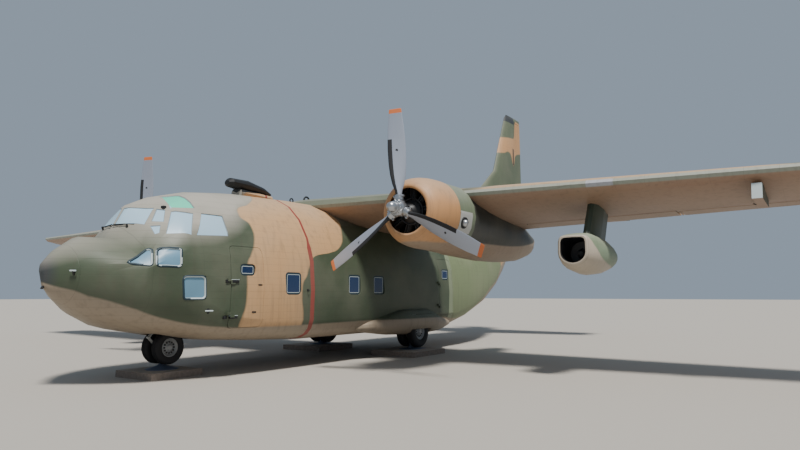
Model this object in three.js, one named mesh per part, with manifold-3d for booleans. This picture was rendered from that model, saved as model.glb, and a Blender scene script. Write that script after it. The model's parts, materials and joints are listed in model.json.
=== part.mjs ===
// Twin-engined military transport plane with a tail ramp, parked on three display plinths.
// Millimetres, +Z up. The nose points along -Y and the port wing along +X.
// Stations run aft from the nose tip; heights run up from the ground.
import * as THREE from 'three';
import { mergeVertices } from 'three/addons/utils/BufferGeometryUtils.js';
import Module from 'manifold-3d';

const wasm = await Module();
wasm.setup();

// Overall sizes
const LENGTH = 23281;
const HALF_SPAN = 16760;
const FIN_TOP = 10440;

// Clearances
const SEAT = 0.3;
const RUN = 8;

// Fuselage
const WALL = 70;
const RING_POINTS = 24;
const COCKPIT_START = 700;
const HOLD_START = 4150;
const HOLD_SPLIT = 8900;
const TAIL_START = 12900;
const COCKPIT_FLOOR = 1300;
const HOLD_FLOOR = 1050;
const HOLD_HALF_WIDTH = 1700;

// Wing
const WING_JOINT = 5600;
const WING_ROOT_LEAD = 6910;
const WING_ROOT_TRAIL = 11520;
const LEAD_SWEEP = 0.094;
const TRAIL_SWEEP = -0.0612;
const LEAD_HEIGHT = 4260;
const TRAIL_HEIGHT = 3590;
const TRAIL_RISE = 0.02;
const ROOT_THICKNESS = 0.165;
const TIP_THICKNESS = 0.12;

// Engines and propellers
const ENGINE_X = 4638;
const HUB_Z = 3698;
const HUB_STATION = 5345;
const PROP_RADIUS = 2286;
const PORT_PHASE = -3;
const STARBOARD_PHASE = 0;
const COWL_FRONT = 5620;
const COWL_BACK = 6650;
const COWL_RADIUS = 840;
const COWL_MOUTH = 515;
const COWL_WALL = 40;
const ENGINE_NOSE = 40;

// Jet pods
const POD_X = 7930;
const POD_Z = 2700;
const POD_FRONT = 7100;

// Wheels and plinths
const NOSE_AXLE = { station: 2770, z: 630 };
const NOSE_TYRE = { radius: 370, width: 220, rim: 205, spread: 180 };
const MAIN_AXLE = { x: 1795, station: 10310, z: 680 };
const MAIN_TYRE = { radius: 480, width: 245, rim: 250, spread: 190 };
const SLAB_HEIGHT = 150;
const BAY_TOP = 1150;

const GREEN = { color: 0x4f5a46, roughness: 0.7, metalness: 0.1 };
const DARK_GREEN = { color: 0x3b463a, roughness: 0.7, metalness: 0.1 };
const TAN = { color: 0xb08d68, roughness: 0.7, metalness: 0.1 };
const GREY = { color: 0xa9a49b, roughness: 0.65, metalness: 0.1 };
const BARE_METAL = { color: 0xb8bcc0, roughness: 0.35, metalness: 0.9 };
const BLACK = { color: 0x1c1d1f, roughness: 0.6, metalness: 0.2 };
const TYRE = { color: 0x1a1a1b, roughness: 0.85, metalness: 0 };
const GLAZING = { color: 0xa8c0cc, roughness: 0.3, metalness: 0 };
const CONCRETE = { color: 0x9a8f80, roughness: 0.95, metalness: 0 };

const airframe = new THREE.Group();
airframe.position.y = -LENGTH / 2;

// Shape tools

function weld(geometry) {
  const bare = new THREE.BufferGeometry();
  bare.setAttribute('position', geometry.attributes.position.clone());
  if (geometry.index) bare.setIndex(geometry.index.clone());
  const welded = mergeVertices(bare, 0.01);
  const kept = [];
  const old = welded.index.array;
  for (let i = 0; i < old.length; i += 3) {
    const [a, b, c] = [old[i], old[i + 1], old[i + 2]];
    if (a !== b && b !== c && c !== a) kept.push(a, b, c);
  }
  welded.setIndex(kept);
  return welded;
}

function toSolid(geometry) {
  const welded = weld(geometry);
  return new wasm.Manifold(new wasm.Mesh({
    numProp: 3,
    vertProperties: new Float32Array(welded.attributes.position.array),
    triVerts: new Uint32Array(welded.index.array),
  }));
}

function toGeometry(body) {
  const mesh = body.getMesh();
  const geometry = new THREE.BufferGeometry();
  geometry.setAttribute('position', new THREE.BufferAttribute(mesh.vertProperties, 3));
  geometry.setIndex(new THREE.BufferAttribute(mesh.triVerts, 1));
  geometry.computeVertexNormals();
  return geometry;
}

function addPiece(name, body, look, parent = airframe) {
  const geometry = body.isBufferGeometry ? weld(body) : toGeometry(body);
  const mesh = new THREE.Mesh(geometry, new THREE.MeshStandardMaterial(look));
  mesh.name = name;
  parent.add(mesh);
  return mesh;
}

function signedVolume(points, index) {
  let volume = 0;
  for (let i = 0; i < index.length; i += 3) {
    const [a, b, c] = [points[index[i]], points[index[i + 1]], points[index[i + 2]]];
    volume += a.dot(new THREE.Vector3().crossVectors(b, c));
  }
  return volume;
}

// A skin through rings of equal length, closed with flat ends.
function loft(rings) {
  const count = rings[0].length;
  const points = rings.flat();
  const index = [];
  for (let r = 0; r + 1 < rings.length; r++) {
    for (let i = 0; i < count; i++) {
      const a = r * count + i;
      const b = r * count + (i + 1) % count;
      index.push(a, b, b + count, a, b + count, a + count);
    }
  }
  const caps = [[rings[0], 0, true], [rings.at(-1), points.length - count, false]];
  for (const [ring, start, flip] of caps) {
    const centre = ring.reduce((sum, p) => sum.add(p), new THREE.Vector3()).divideScalar(count);
    const hub = points.push(centre) - 1;
    for (let i = 0; i < count; i++) {
      const a = start + i;
      const b = start + (i + 1) % count;
      if (flip) index.push(hub, b, a);
      else index.push(hub, a, b);
    }
  }
  if (signedVolume(points, index) < 0) index.reverse();
  const geometry = new THREE.BufferGeometry().setFromPoints(points);
  geometry.setIndex(index);
  return geometry;
}

const at = (x, y, z) => new THREE.Vector3(x, y, z);

function box(x0, x1, y0, y1, z0, z1) {
  const geometry = new THREE.BoxGeometry(x1 - x0, y1 - y0, z1 - z0);
  geometry.translate((x0 + x1) / 2, (y0 + y1) / 2, (z0 + z1) / 2);
  return toSolid(geometry);
}

// A round bar or cone between two points.
function bar(from, to, radiusFrom, radiusTo = radiusFrom, sides = 20) {
  const axis = new THREE.Vector3().subVectors(to, from);
  const geometry = weld(new THREE.CylinderGeometry(radiusTo, radiusFrom, axis.length(), sides));
  geometry.translate(0, axis.length() / 2, 0);
  geometry.applyQuaternion(new THREE.Quaternion().setFromUnitVectors(at(0, 1, 0), axis.normalize()));
  geometry.translate(from.x, from.y, from.z);
  return toSolid(geometry);
}

// A turned shape about a line through the origin along X, Y or Z; rows are [radius, distance along].
function turned(profile, direction, sides) {
  const welded = weld(new THREE.LatheGeometry(profile.map(([r, d]) => new THREE.Vector2(r, d)), sides));
  welded.applyQuaternion(new THREE.Quaternion().setFromUnitVectors(at(0, 1, 0), direction));
  const points = [];
  const position = welded.attributes.position;
  for (let i = 0; i < position.count; i++) points.push(new THREE.Vector3().fromBufferAttribute(position, i));
  const index = Array.from(welded.index.array);
  if (signedVolume(points, index) < 0) index.reverse();
  welded.setIndex(index);
  return toSolid(welded);
}

const mirror = (points) => points.map((p) => at(-p.x, p.y, p.z));
const join = (bodies) => bodies.reduce((sum, body) => sum.add(body));
const cut = (body, tools) => tools.reduce((rest, tool) => rest.subtract(tool), body);

// A corner cutter that runs across the fuselage; outline rows are [station, z].
function sideCutter(outline, x0, x1, squeeze = 0) {
  const share = 1 / outline.length;
  const middle = outline.reduce(([y, z], p) => [y + p[0] * share, z + p[1] * share], [0, 0]);
  const ring = (x) => outline.map(([y, z]) => {
    const reach = Math.hypot(y - middle[0], z - middle[1]);
    const keep = 1 - squeeze / reach;
    return at(x, middle[0] + (y - middle[0]) * keep, middle[1] + (z - middle[1]) * keep);
  });
  return toSolid(loft([ring(x0), ring(x1)]));
}

// A cutter through a pane, along the pane's own direction.
function paneCutter(corners, direction, reach, squeeze = 0) {
  const middle = corners.reduce((sum, p) => sum.add(p), at(0, 0, 0)).divideScalar(corners.length);
  const inward = (p) => p.clone().sub(middle).multiplyScalar(1 - squeeze / p.distanceTo(middle)).add(middle);
  const ring = (sign) => corners.map((p) => inward(p).addScaledVector(direction, sign * reach));
  return toSolid(loft([ring(-1), ring(1)]));
}

// Rounded corners for a rectangular window, as [station, z] rows.
function roundedWindow(y0, y1, z0, z1, radius, steps = 2) {
  const rows = [];
  for (const [cy, cz, turn] of [
    [y1 - radius, z1 - radius, 0], [y0 + radius, z1 - radius, 1],
    [y0 + radius, z0 + radius, 2], [y1 - radius, z0 + radius, 3],
  ]) {
    for (let i = 0; i <= steps; i++) {
      const a = (turn + i / steps) * Math.PI / 2;
      rows.push([cy + radius * Math.cos(a), cz + radius * Math.sin(a)]);
    }
  }
  return rows;
}

// Fuselage sections: station, half width, top, bottom, height of the widest point,
// squareness above it, squareness below it, floor height inside
const HULL = [
  [0, 40, 2377, 2222, 2245, 2, 2, 2245],
  [60, 90, 2457, 1935, 2250, 2, 2, 2250],
  [300, 500, 2692, 1693, 2220, 1.9, 1.9, 2220],
  [700, 980, 2953, 1386, 2200, 1.9, 2, 1520],
  [1300, 1400, 2970, 1134, 2290, 1.45, 2.7, COCKPIT_FLOOR],
  [1680, 1550, 3696, 1030, 2490, 1.25, 2.8, COCKPIT_FLOOR],
  [2200, 1682, 3933, 950, 2350, 1.95, 3.4, COCKPIT_FLOOR],
  [3150, 1800, 4180, 790, 1980, 2.2, 4.4, COCKPIT_FLOOR],
  [4150, 1850, 4290, 730, 1940, 2.2, 5, COCKPIT_FLOOR],
  [6000, 1870, 4350, 650, 1900, 2.2, 5, HOLD_FLOOR],
  [HOLD_SPLIT, 1870, 4362, 658, 1900, 2.2, 5, HOLD_FLOOR],
  [12900, 1870, 4380, 670, 1900, 2.2, 5, HOLD_FLOOR],
  [14070, 1840, 4400, 930, 2000, 2.2, 5, 1230],
  [15650, 1700, 4430, 1370, 2250, 2.2, 4.5, 1560],
  [17420, 1350, 4500, 2010, 2700, 2.2, 4, 2110],
  [18400, 1130, 4560, 2470, 3050, 2.2, 3.4, 2560],
  [19350, 900, 4620, 3050, 3450, 2.2, 3, 3140],
  [21000, 520, 4740, 3700, 4000, 2.1, 2.4, 3800],
  [22300, 200, 4800, 4150, 4350, 2, 2, 4200],
];

const signedPower = (value, power) => Math.sign(value) * Math.abs(value) ** power;

// One fuselage ring, drawn in by an inset; with a floor it stops flat at the floor.
function hullRing(row, inset, onFloor, shift = 0) {
  const [station, halfWidth, top, bottom, widest, above, below, floor] = row;
  const points = [];
  for (let i = 0; i < RING_POINTS; i++) {
    const angle = (2 * Math.PI * i) / RING_POINTS;
    const [across, up] = [Math.cos(angle), Math.sin(angle)];
    const power = 2 / (up >= 0 ? above : below);
    const depth = onFloor ? widest - floor : widest - bottom - inset;
    const height = up >= 0 ? top - inset - widest : depth;
    const x = (halfWidth - inset) * signedPower(across, power);
    points.push(at(x, station + shift, widest + height * signedPower(up, power)));
  }
  return points;
}

// The hull at any station, from the rows on either side of it.
function hullRow(station) {
  const after = HULL.findIndex((row) => row[0] >= station);
  const [a, b] = [HULL[Math.max(after - 1, 0)], HULL[after]];
  const t = b[0] === a[0] ? 0 : (station - a[0]) / (b[0] - a[0]);
  return a.map((value, i) => value + (b[i] - value) * t);
}

function hullLoft(from, to, inset = 0, onFloor = false, overrun = 0) {
  const inner = HULL.filter((row) => row[0] > from && row[0] < to);
  const rows = [hullRow(from), ...inner, hullRow(to)];
  const last = rows.length - 1;
  const shift = (i) => (i === 0 ? -overrun : i === last ? overrun : 0);
  return toSolid(loft(rows.map((row, i) => hullRing(row, inset, onFloor, shift(i)))));
}

// Lifting surfaces: a section is a symmetric or cambered foil between two points of its chord
const FOIL_STEPS = [0, 0.02, 0.09, 0.25, 0.45, 0.68, 1];
const PANEL_STEPS = [0, 0.4, 1];
const PANEL_END = 25;
const HINGE_PIN = 14;
const TRAIL_EDGE = 0.004;

function foilHalf(fraction) {
  const f = Math.min(Math.max(fraction, 0), 1);
  return 5 * (0.2969 * Math.sqrt(f) - 0.126 * f - 0.3516 * f ** 2 + 0.2843 * f ** 3 - 0.1036 * f ** 4)
    + TRAIL_EDGE * f;
}

// A surface is { lead(s), trail(s), up, ratio(s), camber } with s its spanwise place.
function foilPoint(surface, s, fraction, side) {
  const lead = surface.lead(s);
  const chord = new THREE.Vector3().subVectors(surface.trail(s), lead);
  const share = 1 + side * surface.camber;
  const half = foilHalf(fraction) * surface.ratio(s) * chord.length() * share;
  return lead.clone().addScaledVector(chord, fraction).addScaledVector(surface.up, side * half);
}

function foilRing(surface, s, start = 0) {
  const steps = start === 0 ? FOIL_STEPS : PANEL_STEPS.map((f) => start + (1 - start) * f);
  const upper = steps.map((f) => foilPoint(surface, s, f, 1));
  const lower = steps.map((f) => foilPoint(surface, s, f, -1)).reverse();
  if (start === 0) lower.pop();
  return [...upper, ...lower];
}

const foilLoft = (surface, places) => toSolid(loft(places.map((s) => foilRing(surface, s))));

function hingePoint(surface, s, hinge) {
  const top = foilPoint(surface, s, hinge(s), 1);
  const bottom = foilPoint(surface, s, hinge(s), -1);
  return { centre: top.clone().add(bottom).divideScalar(2), radius: top.distanceTo(bottom) / 2 };
}

// The flap, aileron, rudder or elevator behind a hinge line, with a round nose.
function movingPanel(surface, s0, s1, hinge, swing) {
  const [a, b] = [s0, s1].map((s) => hingePoint(surface, s, hinge));
  const rear = [s0, s1].map((s) => foilRing(surface, s, hinge(s)));
  const panel = toSolid(loft(rear)).add(bar(a.centre, b.centre, a.radius * 0.985, b.radius * 0.985, 12));
  // Half the swing would do on a level chord; this one slopes.
  const slack = Math.tan(THREE.MathUtils.degToRad(swing * 0.77));
  const span = new THREE.Vector3().subVectors(b.centre, a.centre).normalize();
  const reach = (p, s, sign) => {
    const chord = new THREE.Vector3().subVectors(surface.trail(s), surface.lead(s));
    const along = chord.clone().normalize();
    const start = p.centre.clone().addScaledVector(along, -p.radius * slack - RUN)
      .addScaledVector(span, sign * PANEL_END);
    const tall = surface.up.clone().multiplyScalar(p.radius * 4 + 60);
    const deep = along.clone().multiplyScalar(chord.length());
    return [
      start.clone().add(tall), start.clone().sub(tall),
      start.clone().sub(tall).add(deep), start.clone().add(tall).add(deep),
    ];
  };
  const pocket = toSolid(loft([reach(a, s0, -1), reach(b, s1, 1)]));
  const beyond = (gap) => {
    return [a.centre.clone().addScaledVector(span, -gap), b.centre.clone().addScaledVector(span, gap)];
  };
  const cove = bar(...beyond(PANEL_END), a.radius + RUN, b.radius + RUN, 12);
  const pins = bar(...beyond(PANEL_END - SEAT), HINGE_PIN, HINGE_PIN, 8);
  return { panel: panel.add(pins), tools: [pocket, cove] };
}

const lerp = THREE.MathUtils.lerp;

function wingSurface(side) {
  return {
    lead: (x) => at(side * x, WING_ROOT_LEAD + LEAD_SWEEP * x, LEAD_HEIGHT),
    trail: (x) => at(side * x, WING_ROOT_TRAIL + TRAIL_SWEEP * x, TRAIL_HEIGHT + TRAIL_RISE * x),
    ratio: (x) => lerp(ROOT_THICKNESS, TIP_THICKNESS, x / HALF_SPAN),
    up: at(0, 0, 1),
    camber: 0.1,
  };
}

// The fin: height, leading edge, trailing edge, thickness; the lowest rows hold the dorsal fillet
const FIN = [
  [4300, 15600, 23300, 330],
  [7450, 20050, 23210, 330],
  [10250, 21340, 23150, 190],
  [FIN_TOP, 21520, 23100, 60],
];

function finValue(z, column) {
  const after = Math.max(1, FIN.findIndex((row) => row[0] >= z));
  const [a, b] = [FIN[after - 1], FIN[after]];
  return lerp(a[column], b[column], (z - a[0]) / (b[0] - a[0]));
}

const finSurface = {
  lead: (z) => at(0, finValue(z, 1), z),
  trail: (z) => at(0, finValue(z, 2), z),
  ratio: (z) => finValue(z, 3) / (finValue(z, 2) - finValue(z, 1)),
  up: at(1, 0, 0),
  camber: 0,
};

const TAILPLANE = {
  z: 4950, halfSpan: 5550, lead: 19150, leadSweep: 0.19, trail: 22250, trailSweep: -0.06,
};

function tailSurface(side) {
  return {
    lead: (x) => at(side * x, TAILPLANE.lead + TAILPLANE.leadSweep * x, TAILPLANE.z),
    trail: (x) => at(side * x, TAILPLANE.trail + TAILPLANE.trailSweep * x, TAILPLANE.z),
    ratio: (x) => lerp(0.125, 0.1, x / TAILPLANE.halfSpan),
    up: at(0, 0, 1),
    camber: 0,
  };
}

// The whole tailplane from tip to tip; a root play over 1 makes it fatter, to cut what it passes through.
const ROOT_PLAY = 1.004;

function wholeTail(play) {
  const { halfSpan } = TAILPLANE;
  return toSolid(loft([[-1, halfSpan], [-1, 0], [1, halfSpan]].map(([side, x]) => {
    const surface = tailSurface(side);
    return foilRing({ ...surface, ratio: (s) => surface.ratio(s) * play }, x);
  })));
}

// Wings

const FLAP_HINGE = () => 0.74;
const AILERON_HINGE = () => 0.77;
const FLAP_SWING = 45;
const AILERON_SWING = 20;
const INNER_FLAP = [1965, 3770];
const OUTER_FLAP = [5660, 9480];
const AILERON = [9570, 16200];
const TIP_ROUND = 130;

const centreFoil = [wingSurface(-1), wingSurface(1)];
const centreRings = [
  foilRing(centreFoil[0], WING_JOINT - SEAT),
  foilRing(centreFoil[0], 0),
  foilRing(centreFoil[1], WING_JOINT - SEAT),
];
const centreWhole = toSolid(loft(centreRings));
// The whole wing made fatter by the seat gap, to cut what it passes through
function grow(body, gap) {
  const shifts = [[0, 0, gap], [0, 0, -gap], [0, gap, 0], [0, -gap, 0]];
  return join(shifts.map((shift) => body.translate(shift)));
}
const wholeWing = toSolid(loft([
  foilRing(centreFoil[0], HALF_SPAN), foilRing(centreFoil[0], WING_JOINT), foilRing(centreFoil[1], 0),
  foilRing(centreFoil[1], WING_JOINT), foilRing(centreFoil[1], HALF_SPAN),
]));
const grownWing = grow(wholeWing, SEAT * 2);

let centreWing = centreWhole;
for (const [side, word] of [[1, 'left'], [-1, 'right']]) {
  const surface = wingSurface(side);
  const inner = movingPanel(surface, ...INNER_FLAP, FLAP_HINGE, FLAP_SWING);
  centreWing = cut(centreWing, inner.tools);
  addPiece(`flap_inner_${word}`, inner.panel, DARK_GREEN);

  const outer = movingPanel(surface, ...OUTER_FLAP, FLAP_HINGE, FLAP_SWING);
  const aileron = movingPanel(surface, ...AILERON, AILERON_HINGE, AILERON_SWING);
  addPiece(`flap_outer_${word}`, outer.panel, DARK_GREEN);
  addPiece(`aileron_${word}`, aileron.panel, GREEN);

  const tip = foilRing(surface, HALF_SPAN).map((p) => {
    const middle = surface.lead(HALF_SPAN).lerp(surface.trail(HALF_SPAN), 0.42);
    return at(p.x, lerp(middle.y, p.y, 0.8), lerp(middle.z, p.z, 0.3));
  });
  const rings = [foilRing(surface, WING_JOINT), foilRing(surface, HALF_SPAN - TIP_ROUND), tip];
  const pylon = tankPylon(surface, side);
  const body = cut(toSolid(loft(rings)), [...outer.tools, ...aileron.tools]).add(pylon);
  addPiece(`wing_${word}`, body, GREEN);
}

function tankPylon(surface, side) {
  const [x, halfWidth, drop] = [11370, 95, 320];
  const outline = [[8080, 0], [9850, 0], [9700, -drop], [8000, -drop]];
  const under = foilPoint(surface, x, 0.3, -1).z + 60;
  const ring = (offset) => outline.map(([y, z]) => at(side * x + offset, y, under + z));
  return toSolid(loft([ring(-halfWidth), ring(halfWidth)]));
}

// Fuselage

const shellWall = (from, to) => hullLoft(from, to).subtract(hullLoft(from, to, WALL, false, 5));

// Side doors, hinged at the front: front and aft station, sill, head, the slope of the aft edge,
// how far out the hinge line lies, and the heights of its two hinges
const CREW_DOOR = {
  front: 3120, aft: 4020, sill: 1080, head: 2850, slope: 0.17, hingeX: 1815, hinges: [1370, 2080],
};
const JUMP_DOOR = {
  front: 11850, aft: 12720, sill: 1130, head: 2950, slope: 0.17, hingeX: 1888, hinges: [1420, 2150],
};
const KNUCKLE = { radius: 15, height: 60, ahead: 14 };
const CABIN_WINDOW_Z = [1790, 2320];

function doorCutter(door, side, grow) {
  const ring = (x) => {
    const aft = door.aft + door.slope * (x - 1800) + grow;
    const rows = roundedWindow(door.front - grow, aft, door.sill - grow, door.head + grow, 90);
    return rows.map(([y, z]) => at(side * x, y, z));
  };
  return toSolid(loft([ring(1350), ring(2050)]));
}

// The two halves of a door's hinges: the lower knuckle rides on the door, the upper one on the hull.
function doorHinges(door, side) {
  const station = door.front - KNUCKLE.ahead;
  const halves = [[-1, 1], [1, -1]].map(([up, aft]) => join(door.hinges.flatMap((z) => {
    const [low, high] = up < 0 ? [z - KNUCKLE.height, z] : [z + SEAT, z + KNUCKLE.height];
    const line = [at(side * door.hingeX, station, low), at(side * door.hingeX, station, high)];
    const far = station + aft * 100;
    const near = station + aft * (KNUCKLE.ahead + 8);
    const x = [door.hingeX - 75, door.hingeX - 7, door.hingeX + 7].map((value) => side * value);
    const plate = (x0, x1, y0, y1) => {
      return box(Math.min(x0, x1), Math.max(x0, x1), Math.min(y0, y1), Math.max(y0, y1), low, high);
    };
    return [
      bar(...line, KNUCKLE.radius, KNUCKLE.radius, 12),
      plate(x[1], x[2], station, far),
      plate(x[0], x[2], near, far),
    ];
  })));
  return { onDoor: halves[0], onHull: halves[1] };
}

const crewDoorWindow = sideCutter(roundedWindow(3370, 3800, 2210, 2470, 80), 1500, 2000);
const jumpDoorWindow = (side) => {
  return sideCutter(roundedWindow(12060, 12500, 2270, 2620, 80), side * 1500, side * 2000);
};

// Cockpit panes. Flat outlines cut sideways, as [station, z] rows
const SIDE_PANES = [
  [[2380, 3028], [3163, 3062], [3196, 3535], [2710, 3548]],
  [[2057, 1703], [2540, 1702], [2500, 2184], [2010, 2174]],
];
// Panes that face forward, each a list of corners on the port side
const FRONT_PANES = [
  {
    corners: [at(30, 1452, 3262), at(775, 1657, 3234), at(619, 1977, 3630), at(30, 1660, 3625)],
    faces: at(0.3, -0.8, 0.5),
  },
  {
    corners: [at(830, 1768, 3307), at(1040, 1924, 3300), at(852, 2083, 3588), at(684, 1983, 3608)],
    faces: at(0.45, -0.6, 0.65),
  },
  {
    corners: [at(882, 1701, 3208), at(1039, 1851, 3227), at(1139, 1762, 3050), at(1086, 1685, 3019)],
    faces: at(0.45, -0.6, 0.65),
  },
  {
    corners: [at(970, 2132, 3548), at(1195, 2531, 3532), at(1504, 2269, 3034), at(1238, 1838, 3035)],
    faces: at(0.6, -0.5, 0.6),
  },
  {
    corners: [at(1143, 1037, 2407), at(1182, 1487, 2723), at(1274, 1520, 2682), at(1443, 1418, 2359)],
    faces: at(0.7, -0.4, 0.55),
  },
  {
    corners: [at(1306, 1592, 2718), at(1549, 2001, 2733), at(1618, 1965, 2356), at(1473, 1491, 2361)],
    faces: at(0.72, -0.54, 0.45),
  },
];
// The roof pane, corners as [x, station]
const ROOF_PANE = [[160, 2385], [360, 2690], [635, 2732], [1088, 2655], [911, 2152]];

function paneTools(side, squeeze) {
  const tools = SIDE_PANES.map((outline) => sideCutter(outline, side * 600, side * 2000, squeeze));
  for (const { corners, faces } of FRONT_PANES) {
    const flip = side > 0 ? corners : mirror(corners);
    const direction = faces.clone().normalize();
    direction.x *= side;
    tools.push(paneCutter(flip, direction, 230 - 5 * squeeze, squeeze));
  }
  const roof = ROOF_PANE.map(([x, y]) => at(side * x, y, 3900));
  tools.push(paneCutter(roof, at(0, 0, 1), 350, squeeze));
  return tools;
}

const NOSE_BAY = box(-520, 520, NOSE_AXLE.station - 560, NOSE_AXLE.station + 560, 400, BAY_TOP);

addPiece('nose_cap', hullLoft(0, COCKPIT_START - SEAT), GREEN);

{
  const outer = hullLoft(COCKPIT_START, HOLD_START - SEAT);
  const cavity = hullLoft(COCKPIT_START, HOLD_START, WALL, true, 5);
  const panes = [...paneTools(1, 0), ...paneTools(-1, 0)];
  const section = cut(outer, [cavity, ...panes, NOSE_BAY, doorCutter(CREW_DOOR, 1, RUN)]);
  const doorHinge = doorHinges(CREW_DOOR, 1);
  addPiece('cockpit_section', section.add(doorHinge.onHull), GREEN);

  const door = shellWall(COCKPIT_START, HOLD_START).intersect(doorCutter(CREW_DOOR, 1, 0));
  addPiece('crew_door', door.subtract(crewDoorWindow).add(doorHinge.onDoor), GREEN);

  const [sheet, sunk, lowest] = [14, 20, 1500];
  const band = box(-2000, 2000, 760, 3420, lowest, 4400);
  const backing = hullLoft(COCKPIT_START, HOLD_START, WALL + SEAT, true)
    .subtract(hullLoft(COCKPIT_START, HOLD_START, WALL + sheet, true, 5)).intersect(band);
  const plugs = join([...paneTools(1, 6), ...paneTools(-1, 6)])
    .intersect(hullLoft(COCKPIT_START, HOLD_START, sunk)
      .subtract(hullLoft(COCKPIT_START, HOLD_START, WALL + sheet / 2, true, 5))).intersect(band);
  const clearDoor = doorCutter(CREW_DOOR, 1, RUN * 3);
  addPiece('cockpit_glazing', largest(backing.add(plugs).subtract(clearDoor)), GLAZING);
}

// Cabin windows of the hold: front and aft station, both sides alike
const HOLD_WINDOWS = [[4720, 5250], [7080, 7600], [8200, 8720]];
const WELL = { inner: 1455, front: 9750, aft: 10870, top: 1290, skin: 60 };
// The fairing covers the well's outer side and its roof
const FAIRING_WELL = { outer: 2150, top: 1200 };

function wheelWell(side, grow) {
  const x = [side * (WELL.inner - grow), side * 2400].sort((a, b) => a - b);
  return box(x[0], x[1], WELL.front - grow, WELL.aft + grow, 300, WELL.top + grow);
}

{
  let cavity = hullLoft(HOLD_START, TAIL_START, WALL, true, 5)
    .add(box(-HOLD_HALF_WIDTH, HOLD_HALF_WIDTH, HOLD_START + 1000, TAIL_START + 5, HOLD_FLOOR, 1900));
  cavity = cut(cavity, [1, -1].map((side) => wheelWell(side, WELL.skin)));
  const windows = HOLD_WINDOWS.map(([y0, y1]) => {
    return sideCutter(roundedWindow(y0, y1, ...CABIN_WINDOW_Z, 90), -2000, 2000);
  });
  const doors = [1, -1].map((side) => doorCutter(JUMP_DOOR, side, RUN));
  const wells = [1, -1].map((side) => wheelWell(side, 0));
  const doorHinge = [1, -1].map((side) => doorHinges(JUMP_DOOR, side));
  const tools = [cavity, ...windows, ...doors, ...wells, grownWing];
  addPiece('hold_front', cut(hullLoft(HOLD_START, HOLD_SPLIT - SEAT), tools), GREEN);
  const rear = cut(hullLoft(HOLD_SPLIT, TAIL_START - SEAT), tools);
  addPiece('hold_rear', join([rear, ...doorHinge.map(({ onHull }) => onHull)]), GREEN);

  for (const [i, side, word] of [[0, 1, 'left'], [1, -1, 'right']]) {
    const door = shellWall(HOLD_START, TAIL_START).intersect(doorCutter(JUMP_DOOR, side, 0));
    addPiece(`jump_door_${word}`, door.subtract(jumpDoorWindow(side)).add(doorHinge[i].onDoor), DARK_GREEN);
  }
}

// Ramp, a wedge between its floor and the belly, hinged at the belly: outline in [station, z]
const RAMP_HINGE = { station: 12960, z: 683.3, radius: 10 };
const RAMP_HALF_WIDTH = 1250;
const RAMP = [[RAMP_HINGE.station, 400], [16410, 1405], [16190, 1805], [RAMP_HINGE.station, HOLD_FLOOR]];
// Upper cargo door, hinged at its aft end and swinging up inside
const CARGO_DOOR = { front: 16308, aft: 18900, frontHalf: 1050, aftHalf: 560, hingeZ: 2900 };
const CARGO_HINGE = { pin: 12, boss: 24, lug: [115, 150], bracket: [150.3, 190] };

// Grown for the tail section, it also clears what stands above the ramp's edges.
function rampCutter(grow) {
  const lift = grow * 30;
  const [front, low, high, sill] = RAMP;
  const outline = grow === 0 ? RAMP : [
    [front[0] - grow, front[1]], [low[0] + grow, low[1]],
    [high[0] + 130, high[1] + lift], [sill[0] - grow, sill[1] + lift],
  ];
  return sideCutter(outline, -RAMP_HALF_WIDTH - grow, RAMP_HALF_WIDTH + grow);
}

function cargoDoorCutter(grow) {
  const { front, aft, frontHalf, aftHalf } = CARGO_DOOR;
  const ring = (z) => [
    at(-frontHalf - grow, front - grow, z), at(frontHalf + grow, front - grow, z),
    at(aftHalf + grow, aft + grow, z), at(-aftHalf - grow, aft + grow, z),
  ];
  return toSolid(loft([ring(900), ring(3300)]));
}

// A pair of blocks on the cargo door's hinge line, left and right, from one x range
function hingeBlocks([x0, x1], y0, y1, z0, z1) {
  const { aft, hingeZ } = CARGO_DOOR;
  return join([1, -1].map((side) => {
    const [a, b] = side > 0 ? [x0, x1] : [-x1, -x0];
    const boss = bar(at(a, aft, hingeZ), at(b, aft, hingeZ), CARGO_HINGE.boss, CARGO_HINGE.boss, 16);
    return boss.add(box(a, b, y0, y1, z0, z1));
  }));
}

{
  const aftWall = 19900;
  const outer = hullLoft(TAIL_START, HULL.at(-1)[0]);
  const cavity = hullLoft(TAIL_START, aftWall, WALL, false, 5);
  const finRoot = foilLoft({ ...finSurface, ratio: (z) => finSurface.ratio(z) * ROOT_PLAY }, [4300, 7450]);
  const hingeBar = (radius, reach, station, z, sides) => {
    return bar(at(-reach, station, z), at(reach, station, z), radius, radius, sides);
  };
  const rampBar = (play, sides) => {
    const { radius, station, z } = RAMP_HINGE;
    return hingeBar(radius + play, RAMP_HALF_WIDTH + play, station, z, sides);
  };
  const { aft, hingeZ } = CARGO_DOOR;
  const doorPin = (play, sides) => hingeBar(CARGO_HINGE.pin + play, 195 + play, aft, hingeZ, sides);
  const brackets = hingeBlocks(CARGO_HINGE.bracket, aft, aft + 90, 2868, 2916);
  const body = cut(outer, [cavity, rampCutter(RUN), cargoDoorCutter(RUN), finRoot, wholeTail(ROOT_PLAY)]);
  addPiece('tail_section', cut(body.add(brackets), [doorPin(0.5, 24), rampBar(0.5, 24)]), GREEN);

  addPiece('ramp', outer.intersect(rampCutter(0)).add(rampBar(0, 16)), GREY);
  const lugs = hingeBlocks(CARGO_HINGE.lug, aft - 50, aft, 2810, 2900);
  const door = outer.subtract(cavity).intersect(cargoDoorCutter(0));
  addPiece('cargo_door', join([door, lugs, doorPin(0, 16)]), GREY);
}

// Fin, rudder, tailplane and elevators

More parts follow.
